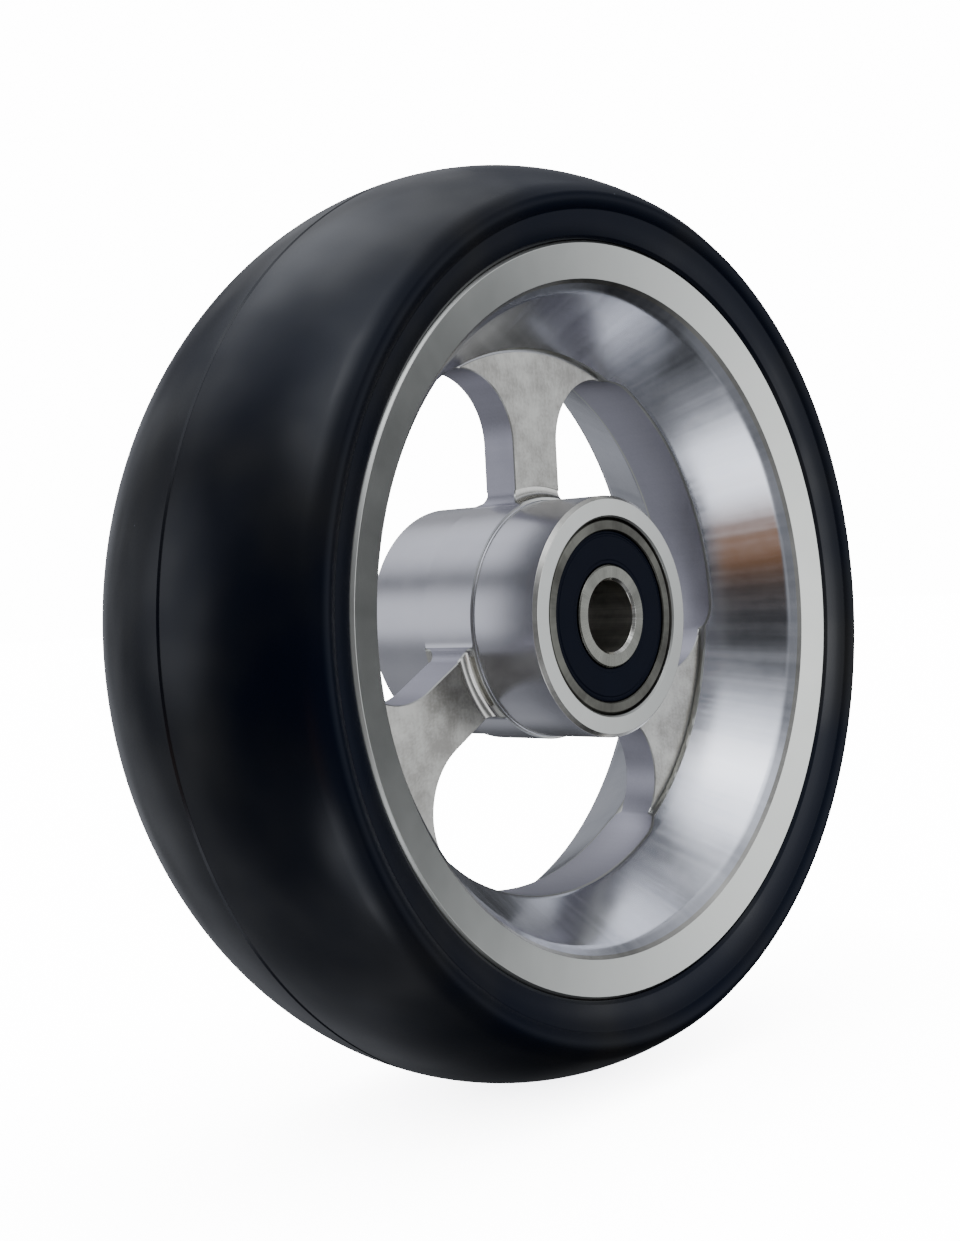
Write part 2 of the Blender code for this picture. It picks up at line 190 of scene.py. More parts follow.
class Graph:
    """Node tree that terms and textures are added to."""

    def __init__(self, tree: bpy.types.NodeTree) -> None:
        """Work on a node tree."""
        self.tree = tree

    def node(self, kind: str, settings: dict, inputs: dict) -> bpy.types.Node:
        """Add a node.

        Args:
            kind: type of the node.
            settings: attributes of the node, or the stops of its ramp under "stops", set first.
            inputs: value, term or socket of each input, by name or number.

        Returns:
            The new node.
        """
        node = self.tree.nodes.new(kind)
        for key, value in settings.items():
            if key == "stops":
                self._set_stops(node.color_ramp, value)
            else:
                setattr(node, key, value)
        for key, value in inputs.items():
            self._feed(node.inputs[key], value)
        return node

    def _set_stops(self, ramp: bpy.types.ColorRamp, stops: list) -> None:
        """Give a ramp its stops.

        Args:
            ramp: the ramp of a Color Ramp node.
            stops: the position and colour of each stop.
        """
        while len(ramp.elements) < len(stops):
            ramp.elements.new(1.0)
        for element, (position, colour) in zip(ramp.elements, stops):
            element.position = position
            element.color = (*colour, 1.0)

    def _feed(self, socket: bpy.types.NodeSocket, value: object) -> None:
        """Link or set one input.

        Args:
            socket: the input.
            value: a term or socket to link, or a number or colour to set.
        """
        if isinstance(value, Term):
            self.tree.links.new(value.socket, socket)
        elif isinstance(value, bpy.types.NodeSocket):
            self.tree.links.new(value, socket)
        elif isinstance(value, tuple) and len(value) == 3 and socket.type == "RGBA":
            socket.default_value = (*value, 1.0)
        else:
            socket.default_value = value

    def blend(self, mask: Term, low: object, high: object) -> bpy.types.NodeSocket:
        """Mix two colours.

        Args:
            mask: 0 for low, 1 for high.
            low: colour or colour socket.
            high: colour or colour socket.

        Returns:
            Colour socket.
        """
        inputs = {MIX_FACTOR: mask, MIX_LOW: low, MIX_HIGH: high}
        return self.node("ShaderNodeMix", {"data_type": "RGBA"}, inputs).outputs[MIX_RESULT]


class Surface(Graph):
    """Node tree of one material, with the places on a piece that its finish is written in."""

    def __init__(self, name: str) -> None:
        """Start a material that holds only a Principled shader.

        Args:
            name: name of the material.
        """
        self.material = bpy.data.materials.new(name)
        self.material.use_nodes = True
        super().__init__(self.material.node_tree)
        self.shader = self.tree.nodes["Principled BSDF"]
        self.place = self.node("ShaderNodeTexCoord", {}, {}).outputs["Object"]
        split = self.node("ShaderNodeSeparateXYZ", {}, {0: self.place})
        self.x, self.y, self.axial = (Term(self, output) / MM for output in split.outputs)
        self.radius = (self.x * self.x + self.y * self.y) ** 0.5

    def set(self, **values: object) -> None:
        """Set or link sockets of the shader; an underscore in a name stands for a space."""
        for name, value in values.items():
            self._feed(self.shader.inputs[name.replace("_", " ").title().replace("Ior", "IOR")], value)

    def stretched(self, radial: float, around: float, along: float) -> bpy.types.NodeSocket:
        """Coordinates that unroll the piece: radius, turn and axial place, each with its own scale.

        Args:
            radial: features per millimetre of radius.
            around: features per radian round the axis.
            along: features per millimetre along the axis.

        Returns:
            Vector socket for a texture. It has a cut where the turn starts again.
        """
        turn = self.y.turn_from(self.x)
        inputs = {0: self.radius * radial, 1: turn * around, 2: self.axial * along}
        return self.node("ShaderNodeCombineXYZ", {}, inputs).outputs[0]

    def spokes_of_light(self, around: float, depth: float) -> bpy.types.NodeSocket:
        """Coordinates on a ring, so that a texture changes with the turn and has no cut.

        Args:
            around: radius of the ring in texture units, which sets how fast the texture changes.
            depth: texture units per millimetre of radius and of axial place.

        Returns:
            Vector socket for a texture.
        """
        ring = around / self.radius
        inputs = {0: self.x * ring, 1: self.y * ring, 2: (self.radius + self.axial) * depth}
        return self.node("ShaderNodeCombineXYZ", {}, inputs).outputs[0]

    def noise(self, scale: float, detail: float = 3.0, rough: float = 0.55,
              place: bpy.types.NodeSocket | None = None) -> Term:
        """Noise between 0 and 1.

        Args:
            scale: features per unit of the coordinates; per millimetre where no coordinates are given.
            detail: number of finer octaves.
            rough: share that each finer octave adds.
            place: coordinates to read the noise at.

        Returns:
            The noise as a term.
        """
        if place is None:
            place, scale = self.place, scale / MM
        inputs = {"Vector": place, "Scale": scale, "Detail": detail, "Roughness": rough}
        return Term(self, self.node("ShaderNodeTexNoise", {}, inputs).outputs[0])

    def specks(self, spacing: float, size: float) -> Term:
        """Mask of small round specks.

        Args:
            spacing: about how many millimetres lie between two specks.
            size: radius of a speck in millimetres.

        Returns:
            The mask as a term, 1 in a speck.
        """
        inputs = {"Vector": self.place, "Scale": 1 / (spacing * MM)}
        cells = self.node("ShaderNodeTexVoronoi", {"voronoi_dimensions": "3D"}, inputs)
        return Term(self, cells.outputs["Distance"]).step(size / spacing, SPECK_CORE * size / spacing)

    def relief(self, height: Term, depth: float) -> None:
        """Add relief to the shader's normal.

        Args:
            height: height between 0 and 1.
            depth: millimetres that a height of 1 stands for.
        """
        bump = self.node("ShaderNodeBump", {}, {"Strength": 1.0, "Distance": depth * MM, "Height": height})
        earlier = self.shader.inputs["Normal"]
        if earlier.is_linked:
            self._feed(bump.inputs["Normal"], earlier.links[0].from_socket)
        self._feed(earlier, bump.outputs[0])


# ---- finishes ----

FINE_TONE = 0.6             # share of the broad streaks' tone that the fine streaks have
TONE_CONTRAST = 1.6
PATCH_DULLING = 0.12        # roughness that the stains and the fine streaks add
STREAK_DULLING = 0.35
RING_NOISE = 0.9            # changes of the noise in one ring, which shifts and deepens the rings
RING_SHIFT = 3.0            # radians
DUST = (0.16, 0.17, 0.20)
COOL_TINT = (0.80, 0.88, 1.0)


@dataclass(frozen=True)
class TurnedMetal:
    """Bare metal cut or ground on a lathe: fine rings round the axis, and streaks across them. The streaks'
    changes of roughness are real, and their changes of tone are painted streaks of reflection.
    """

    name: str
    colour: Colour
    shade: Colour               # of its stains, and of its streaks, which are painted streaks of reflection
    roughness: float
    ring_pitch: float = 0.12    # millimetres between two rings
    ring_depth: float = 0.0008  # millimetres
    streaks: float = 0.3        # how strongly the tone changes round the axis, in painted streaks of reflection
    mottle: float = 0.2         # how strongly it changes from place to place
    anisotropy: float = 0.5

    def material(self) -> bpy.types.Material:
        """Build the finish.

        Returns:
            Its material.
        """
        g = Surface(self.name)
        across = g.noise(1.0, 4.0, 0.6, g.spokes_of_light(3.2, 0.02))
        fine = g.noise(1.0, 2.0, 0.5, g.spokes_of_light(26.0, 0.05))
        patches = g.noise(0.16, 4.0, 0.6)
        # The streaks in the tone round the axis are painted streaks of reflection; the broad patches are
        # stains.
        streak = (across - 0.5) * self.streaks + (fine - 0.5) * self.streaks * FINE_TONE
        tone = streak + (patches - 0.5) * self.mottle
        g.set(base_color=g.blend((0.5 + tone * TONE_CONTRAST).step(0.0, 1.0), self.shade, self.colour))
        g.set(metallic=1.0, anisotropic=self.anisotropy)
        dulled = (patches - 0.5) * PATCH_DULLING + (fine - 0.5) * self.streaks * STREAK_DULLING
        g.set(roughness=self.roughness + dulled)
        per_ring = RING_NOISE / self.ring_pitch
        ring_noise = g.noise(1.0, 2.0, 0.6, g.stretched(per_ring, 0.0, per_ring))
        rings = ((g.radius + g.axial) * (math.tau / self.ring_pitch) + ring_noise * RING_SHIFT).sine()
        g.relief(0.5 + rings * 0.25 + (ring_noise - 0.5), self.ring_depth)
        return g.material


@dataclass(frozen=True)
class MilledMetal:
    """Bare metal milled by the side or the end of a cutter, with a grey bloom and faint mottling."""

    name: str
    colour: Colour
    shade: Colour
    roughness: float
    mark_pitch: float = 0.5     # millimetres between two cutter marks
    mark_depth: float = 0.0015  # millimetres
    along_axis: bool = True     # the marks run along the axis, as on a wall, or across a face
    mottle: float = 0.5

    def material(self) -> bpy.types.Material:
        """Build the finish.

        Returns:
            Its material.
        """
        g = Surface(self.name)
        cloud = g.noise(0.22, 5.0, 0.62)
        grain = g.noise(3.5, 2.0, 0.6)
        if self.along_axis:
            marks = g.noise(1.0, 2.0, 0.5, self._wall_place(g))
        else:
            marks = ((g.x + cloud * 2.5) * (math.tau / self.mark_pitch)).sine() * 0.12 + 0.5
        tone = 0.5 + (cloud - 0.5) * self.mottle * 2.2 + (grain - 0.5) * 0.5 + (marks - 0.5) * 0.25
        g.set(base_color=g.blend(tone.step(0.0, 1.0), self.shade, self.colour), metallic=1.0)
        g.set(roughness=self.roughness + (cloud - 0.5) * 0.16 + (grain - 0.5) * 0.08)
        g.relief(marks, self.mark_depth)
        g.relief(grain, 0.0012)
        return g.material

    def _wall_place(self, g: Surface) -> bpy.types.NodeSocket:
        """Find coordinates that hardly change along the axis.

        Args:
            g: the finish's tree.

        Returns:
            Vector socket for a texture.
        """
        per_mm = 1.0 / self.mark_pitch
        inputs = {0: g.x * per_mm, 1: g.y * per_mm, 2: g.axial * (per_mm * 0.02)}
        return g.node("ShaderNodeCombineXYZ", {}, inputs).outputs[0]


@dataclass(frozen=True)
class CastRubber:
    """Dark cast or moulded polymer, glossy or dull, with a little dust, and patches that are glossier and
    paler; on the tyre their paler colour paints patchy reflections.
    """

    name: str
    colour: Colour
    # paler colour of the patches, which on the tyre is a painted reflection
    patch_colour: Colour
    roughness: float
    patches: float              # how much the patches change the gloss
    patch_size: float           # millimetres
    ripple: float               # depth in millimetres of the slow waves in the surface
    dust: float = 0.3
    gloss: float = 0.0          # weight of the glossy skin
    dull_from: float = 100.0    # axial place, in millimetres from the middle, where the skin turns dull
    specular: float = 0.2

    def material(self) -> bpy.types.Material:
        """Build the finish.

        Returns:
            Its material.
        """
        g = Surface(self.name)
        cloud = g.noise(1 / self.patch_size, 3.0, 0.5)
        flow_and_sheen = g.noise(1.0, 3.0, 0.55, g.spokes_of_light(2.0, 0.9 / self.patch_size))
        grain = g.noise(6.0, 2.0, 0.5)
        specks = g.specks(7.0, 0.10) * self.dust
        # The patches are glossier, and their paler colour paints patchy reflections on the tyre.
        patch = (cloud * 0.6 + flow_and_sheen * 0.4).step(0.40, 0.66)
        skin = 1 - g.axial.magnitude().step(self.dull_from - 0.9, self.dull_from + 0.3)
        bare = g.blend(patch, self.colour, self.patch_colour)
        g.set(base_color=g.blend(specks, bare, DUST), metallic=0.0)
        g.set(roughness=self.roughness + (cloud - 0.5) * self.patches + (grain - 0.5) * 0.05 + specks * 0.4)
        g.set(specular_ior_level=self.specular, specular_tint=COOL_TINT, coat_roughness=0.16)
        if self.gloss:
            g.set(coat_weight=(patch * 0.70 + 0.30) * skin * self.gloss)
        g.relief(flow_and_sheen, self.ripple)
        g.relief(grain, 0.0006)
        g.relief(specks, 0.02)
        return g.material


@dataclass(frozen=True)
class MouldedNylon:
    """Pale nylon with a faint satin grain."""

    name: str
    colour: Colour
    shade: Colour

    def material(self) -> bpy.types.Material:
        """Build the finish.

        Returns:
            Its material.
        """
        g = Surface(self.name)
        cloud = g.noise(0.7, 3.0, 0.5)
        grain = g.noise(9.0, 2.0, 0.6)
        g.set(base_color=g.blend(cloud, self.shade, self.colour), metallic=0.0)
        g.set(roughness=0.42 + (grain - 0.5) * 0.2)
        g.relief(grain, 0.004)
        return g.material


SATIN_FACE = TurnedMetal(
    "rim_face_satin", (0.505, 0.505, 0.46), (0.39, 0.395, 0.36), 0.33,
    ring_pitch=0.36, ring_depth=0.0005, streaks=0.10, mottle=0.15, anisotropy=0.35)
POLISHED_BARREL = TurnedMetal(
    "rim_barrel_polished", (0.76, 0.76, 0.78), (0.44, 0.45, 0.48), 0.20,
    ring_pitch=0.40, ring_depth=0.0003, streaks=0.42, mottle=0.30, anisotropy=0.62)
SPOKE_FACE = MilledMetal(
    "rim_spoke_face", (0.44, 0.43, 0.385), (0.23, 0.22, 0.195), 0.36,
    mark_pitch=0.7, mark_depth=0.0001, along_axis=False, mottle=1.0)
# Lighter and smoother than the hub. On the outer chamfer of the hub's end, its lighter colour is a painted
# glint.
SPOKE_ROOT = TurnedMetal(
    "rim_spoke_root", (0.68, 0.66, 0.59), (0.41, 0.395, 0.355), 0.20,
    ring_pitch=0.40, ring_depth=0.0002, streaks=0.30, mottle=0.40, anisotropy=0.40)
WINDOW_WALL = MilledMetal(
    "rim_window_wall", (0.46, 0.45, 0.495), (0.36, 0.35, 0.39), 0.44,
    mark_pitch=0.6, mark_depth=0.0005, along_axis=True, mottle=0.25)
HUB_BARREL = TurnedMetal(
    "rim_hub_barrel", (0.56, 0.55, 0.565), (0.40, 0.395, 0.42), 0.24,
    ring_pitch=0.50, ring_depth=0.0002, streaks=0.03, mottle=0.35, anisotropy=0.45)
HUB_END = TurnedMetal(
    "rim_hub_end", (0.55, 0.55, 0.50), (0.41, 0.41, 0.375), 0.30,
    ring_pitch=0.36, ring_depth=0.0005, streaks=0.12, mottle=0.15, anisotropy=0.40)
# Dark bored finish of the seat, the bore and the channel. On the grooves by the spokes' faces and on the
# windows' chamfers beside the hub, its darkness is painted shade.
BORED = TurnedMetal(
    "rim_bored_seat", (0.36, 0.36, 0.36), (0.22, 0.22, 0.22), 0.35,
    ring_pitch=0.36, ring_depth=0.0010, streaks=0.2, mottle=0.2, anisotropy=0.40)
GROUND_RING = TurnedMetal(
    "bearing_outer_ground", (0.140, 0.138, 0.115), (0.055, 0.053, 0.044), 0.32,
    ring_pitch=0.36, ring_depth=0.0004, streaks=0.35, mottle=1.2, anisotropy=0.30)
GROUND_INNER = TurnedMetal(
    "bearing_inner_ground", (0.25, 0.247, 0.210), (0.13, 0.128, 0.108), 0.24,
    ring_pitch=0.36, ring_depth=0.0003, streaks=0.5, mottle=0.80, anisotropy=0.40)
# Twice as light as the inner ring's other faces: painted light on the bore, on a rougher ground finish.
GROUND_BORE_LIT = TurnedMetal(
    "bearing_bore_ground", (0.50, 0.48, 0.425), (0.25, 0.24, 0.21), 0.38,
    ring_pitch=0.36, ring_depth=0.0003, streaks=0.6, mottle=0.80, anisotropy=0.20)
# Far lighter than the inner ring's ground steel. On a smoother finish, its lighter colour paints a glint
# round the bore's chamfers.
BEARING_CHAMFER = TurnedMetal(
    "bearing_chamfer_polished", (0.80, 0.78, 0.70), (0.30, 0.29, 0.25), 0.16,
    ring_pitch=0.36, ring_depth=0.0002, streaks=1.2, mottle=0.60, anisotropy=0.30)
LAPPED_BALL = TurnedMetal(
    "ball_lapped", (0.62, 0.62, 0.62), (0.50, 0.50, 0.51), 0.07,
    ring_pitch=0.30, ring_depth=0.0001, streaks=0.05, mottle=0.15, anisotropy=0.0)
SPACER_TURNED = TurnedMetal(
    "spacer_turned", (0.50, 0.50, 0.51), (0.34, 0.34, 0.36), 0.32,
    ring_pitch=0.40, ring_depth=0.0015, streaks=0.2, mottle=0.2, anisotropy=0.5)
# The tyre's paler patch colour is a painted reflection.
TYRE_CAST = CastRubber(
    "tyre_cast", (0.0012, 0.0026, 0.0078), (0.0120, 0.0115, 0.0105), 0.38, patches=0.20, patch_size=26.0,
    ripple=0.05, dust=0.8, gloss=0.62, dull_from=15.6, specular=0.075)
SEAL_MOULDED = CastRubber(
    "seal_moulded", (0.0008, 0.0017, 0.0062), (0.0014, 0.0026, 0.0078), 0.50, patches=0.10, patch_size=5.0,
    ripple=0.003, dust=0.9, specular=0.07)
CAGE_NYLON = MouldedNylon("cage_nylon_satin", (0.66, 0.61, 0.46), (0.52, 0.47, 0.33))


# ---- turned shapes ----

@dataclass(frozen=True)
class Corner:
    """Corner of a turned section, in millimetres, and the surface from it to the next corner."""

    radius: float
    axial: float
    rounding: float = 0.0
    surface: int = 0


ROUND_STEPS = 4             # facets in a rounded corner
HOLD = 0.03                 # millimetres from a rounded corner to the point that keeps the next flat flat
ROOM = 0.45                 # share of the way to the next corner that a rounded corner may take


def rounded(corners: list[Corner], closed: bool = True) -> list[Corner]:
    """Replace each rounded corner of a section by an arc.

    Args:
        corners: corners of the section, in order.
        closed: whether the last corner joins the first.

    Returns:
        The finer section; each of its points is a Corner with no rounding.
    """
    section = []
    count = len(corners)
    for i, corner in enumerate(corners):
        if corner.rounding == 0.0 or (not closed and i in (0, count - 1)):
            section.append(corner)
            continue
        here = Vector((corner.radius, corner.axial))
        before = corners[i - 1]
        after = corners[(i + 1) % count]
        to_before = Vector((before.radius, before.axial)) - here
        to_after = Vector((after.radius, after.axial)) - here
        room = ROOM * min(to_before.length, to_after.length)
        to_before.normalize()
        to_after.normalize()
        half = to_before.angle(to_after) / 2
        reach = min(corner.rounding / math.tan(half), room)
        radius = reach * math.tan(half)
        centre = here + (to_before + to_after).normalized() * (radius / math.sin(half))
        start = here + to_before * reach - centre
        end = here + to_after * reach - centre
        hold = min(HOLD, room - reach) if room > reach else 0.0
        points = [here + to_before * (reach + hold)] if hold else []
        for k in range(ROUND_STEPS + 1):
            share = k / ROUND_STEPS
            points.append(centre + (start * (1 - share) + end * share).normalized() * radius)
        if hold:
            points.append(here + to_after * (reach + hold))
        middle = len(points) // 2
        for k, point in enumerate(points):
            surface = corner.surface if k >= middle else before.surface
            section.append(Corner(point.x, point.y, 0.0, surface))
    return section


def mirrored(half: list[Corner]) -> list[Corner]:
    """Close a section that is the same on both sides.

    Args:
        half: its corners over the axial > 0 side, from the outer surface round to the inner one.

    Returns:
        Corners of the whole section, starting in the middle of the outer surface.
    """
    return half + [Corner(c.radius, -c.axial, c.rounding, c.surface) for c in backwards(half)]


def open_mirrored(half: list[Corner]) -> list[Corner]:
    """Join half an open section to its mirror image.

    Args:
        half: its corners on the axial > 0 side, from the middle plane outwards.

    Returns:
        Corners from the axial > 0 end over the middle plane to the other end.
    """
    return backwards(half) + [Corner(c.radius, -c.axial, c.rounding, c.surface) for c in half]


def backwards(corners: list[Corner]) -> list[Corner]:
    """Turn a section end for end.

    Args:
        corners: its corners.

    Returns:
        The corners in the opposite order, each with the surface that now follows it.
    """
    surfaces = [corners[0].surface] + [corner.surface for corner in corners[:-1]]
    turned = zip(reversed(corners), reversed(surfaces))
    return [Corner(corner.radius, corner.axial, corner.rounding, surface) for corner, surface in turned]


class Solid:
    """Faces of one closed piece, in millimetres round the Z axis."""

    def __init__(self) -> None:
        """Start with no faces."""
        self.points: list[Place] = []
        self.faces: list[Face] = []
        self.surfaces: list[int] = []

    def turn(self, section: list[Corner], steps: int, closed: bool = True) -> None:
        """Sweep a section round the Z axis.

        Args:
            section: corners without rounding.
            steps: facets in one turn.
            closed: whether the section's last corner joins the first.
        """
        first = len(self.points)
        count = len(section)
        for step in range(steps):
            angle = math.tau * step / steps
            across, up = math.cos(angle), math.sin(angle)
            self.points += [(c.radius * across, c.radius * up, c.axial) for c in section]
        for step in range(steps):
            here = first + step * count
            there = first + (step + 1) % steps * count
            for i in range(count if closed else count - 1):
                j = (i + 1) % count
                self.faces.append((here + i, here + j, there + j, there + i))
                self.surfaces.append(section[i].surface)

    def add(self, points: list[Place], faces: list[Face], surfaces: list[int]) -> None:
        """Add a patch of faces.

        Args:
            points: corners of the faces.
            faces: for each face, the numbers of its points in this patch.
            surfaces: surface of each face.
        """
        first = len(self.points)
        self.points += points
        self.faces += [tuple(first + i for i in face) for face in faces]
        self.surfaces += surfaces

    def make(self, name: str, finishes: list, sharp: float) -> bpy.types.Object:
        """Weld the faces into one piece and lay it on the axle.

        Args:
            name: name of the piece.
            finishes: finish of each surface, by its number.
            sharp: degrees between two faces from which their edge stays sharp.

        Returns:
            The new object.
        """
        mesh = bpy.data.meshes.new(name)
        mesh.from_pydata([(x * MM, y * MM, z * MM) for x, y, z in self.points], [], self.faces)
        for finish in finishes:
            mesh.materials.append(finish_material(finish))
        mesh.polygons.foreach_set("material_index", self.surfaces)
        work = bmesh.new()
        work.from_mesh(mesh)
        bmesh.ops.remove_doubles(work, verts=work.verts, dist=WELD)
        bmesh.ops.recalc_face_normals(work, faces=work.faces)
        open_edges = sum(1 for edge in work.edges if len(edge.link_faces) != 2)
        if open_edges:
            log.warning("%s has %d edges that don't join two faces", name, open_edges)
        work.to_mesh(mesh)
        work.free()
        return lay_on_axle(name, mesh, sharp)


METAL_SHARP = 24.0          # degrees between two faces from which their edge stays sharp, on metal
RUBBER_SHARP = 40.0
BALL_SHARP = 60.0
CAGE_SHARP = 30.0
CUT_SHARP = 35.0


def lay_on_axle(name: str, mesh: bpy.types.Mesh, sharp: float) -> bpy.types.Object:
    """Shade a mesh smooth and turn its Z axis onto the axle.

    Args:
        name: name of the piece.
        mesh: its mesh.
        sharp: degrees between two faces from which their edge stays sharp.

    Returns:
        The new object.
    """
    mesh.shade_smooth()
    mesh.set_sharp_from_angle(angle=math.radians(sharp))
    piece = bpy.data.objects.new(name, mesh)
    bpy.context.scene.collection.objects.link(piece)
    piece.rotation_euler.x = -math.pi / 2
    return piece


_made: dict[str, bpy.types.Material] = {}


def finish_material(finish: object) -> bpy.types.Material:
    """Find the material of a finish, which is built on first use.

    Args:
        finish: one of the finishes.

    Returns:
        The material.
    """
    if finish.name not in _made:
        _made[finish.name] = finish.material()
    return _made[finish.name]


def body_of(node: str) -> str:
    """Body that the frame's record gives a CAD node."""
    bodies = frame["record"]["behaviour"]["bodies"]
    return next(body for body, nodes in bodies.items() if node in nodes)


def place_piece(piece: bpy.types.Object, node: str, body: str) -> None:
    """Put a piece in the frame in place of a CAD node.

    Args:
        piece: the finished piece.
        node: the CAD node that it stands for.
        body: the body that it moves with.
    """
    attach(piece, str(body))
    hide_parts(node)
    log.info("%s: %d faces, for %s on %s", piece.name, len(piece.data.polygons), node, body)


# ---- tyre ----

INSIDE = 0.01               # millimetres that the tread stays inside the CAD tyre's box
SEAT_GAP = 0.06             # millimetres between the rim and the tyre's seat on it
GROOVE_SHAPE = ((0.0, 0.0), (0.35, 1.0), (0.65, 1.0), (1.0, 0.0))   # shares of the groove's width and depth


@dataclass
class Tyre:
    """Cast tyre: crowned tread with a parting line, round shoulders, and a foot in the rim's channel."""

    radius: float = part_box("tyre")[1].z / MM - INSIDE
    half_width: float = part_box("tyre")[1].y / MM
    seat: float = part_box("rim")[1].x / MM + SEAT_GAP
    seat_half_width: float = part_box("rim")[1].y / MM
    crown_drop: float = 5.4
    tread_arcs: int = 22
    shoulder_round: float = 1.3
    shoulder_width: float = 0.8     # millimetres beside the tread that the shoulder takes up
    shoulder_drop: float = 0.35
    foot_rise: float = 0.35         # the sidewall's foot stands this far out from the seat
    foot_reach: float = 0.12        # and this far out past the rim's edge
    foot_round: float = 0.25
    seat_inset: float = 0.2
    parting_width: float = 0.28     # half the width of the parting line, and of its floor
    parting_floor: float = 0.084
    parting_depth: float = 0.18
    groove_width: float = 0.45      # of the fine groove in the sidewall
    groove_depth: float = 0.12
    groove_place: float = 1.5       # millimetres down the sidewall from the shoulder
    channel_half_width: float = 12.15
    channel_floor: float = 38.86
    channel_draft: float = 0.4
    steps: int = 360

    def tread_radius(self, axial: float) -> float:
        """Radius of the crown's arc at an axial place."""
        bow = (self.half_width ** 2 + self.crown_drop ** 2) / (2 * self.crown_drop)
        return self.radius - bow + math.sqrt(bow ** 2 - axial ** 2)

    def section(self) -> list[Corner]:
        """Lay out the tyre.

        Returns:
            Corners of its section.
        """
        lip, floor = self.parting_width, self.parting_floor
        half = [
            Corner(self.tread_radius(floor) - self.parting_depth, floor),
            Corner(self.tread_radius(lip), lip),
        ]
        for i in range(1, self.tread_arcs):
            axial = (self.half_width - self.shoulder_width) * i / self.tread_arcs
            half.append(Corner(self.tread_radius(axial), axial))
        shoulder = Vector((self.tread_radius(self.half_width) - self.shoulder_drop, self.half_width))
        half.append(Corner(shoulder.x, shoulder.y, self.shoulder_round))
        foot = Vector((self.seat + self.foot_rise, self.seat_half_width + self.foot_reach))
        down = (foot - shoulder).normalized()
        into = Vector((-down.y, down.x))
        for along, depth in GROOVE_SHAPE:
            point = shoulder + down * (self.groove_place + self.groove_width * along)
            point += into * self.groove_depth * depth
            half.append(Corner(point.x, point.y))
        half += [
            Corner(foot.x, foot.y, self.foot_round),
            Corner(self.seat, self.seat_half_width - self.seat_inset),
            Corner(self.seat, self.channel_half_width),
            Corner(self.channel_floor, self.channel_half_width - self.channel_draft),
        ]
        return rounded(mirrored(half))

    def build(self) -> None:
        """Make the tyre and put it on the wheel."""
        solid = Solid()
        solid.turn(self.section(), self.steps)
        place_piece(solid.make("cast_tyre", [TYRE_CAST], RUBBER_SHARP), "tyre", Body.WHEEL)


# ---- rim ----

class RimSurface(IntEnum):
    """Surfaces of the rim."""

    FACE = 0
    BARREL = 1
    SPOKE = 2
    WALL = 3
    HUB = 4
    HUB_END = 5
    BORED = 6
    ROOT = 7


RIM_FINISHES = {
    RimSurface.FACE: SATIN_FACE,
    RimSurface.BARREL: POLISHED_BARREL,
    RimSurface.SPOKE: SPOKE_FACE,
    RimSurface.WALL: WINDOW_WALL,
    RimSurface.HUB: HUB_BARREL,
    RimSurface.HUB_END: HUB_END,
    RimSurface.BORED: BORED,
    RimSurface.ROOT: SPOKE_ROOT,
}
SAME_POINT = 1e-5           # millimetres between two points of the web that count as one
ROUND_OFF = 1.0001          # lets the triangles that lie against the hub count as web
EDGE_BAND = 0.03            # millimetres along the web's inner and outer edge that hold no window

# A window's chamfer, its wall and its other chamfer: the surface beside the spokes, and beside the hub.
# Beside the hub the chamfers take the dark bored finish, which paints shade lines along the collar's edges.
WALL_ROWS = (
    (RimSurface.HUB_END, RimSurface.BORED),
    (RimSurface.WALL, RimSurface.HUB),
    (RimSurface.HUB_END, RimSurface.BORED),
)


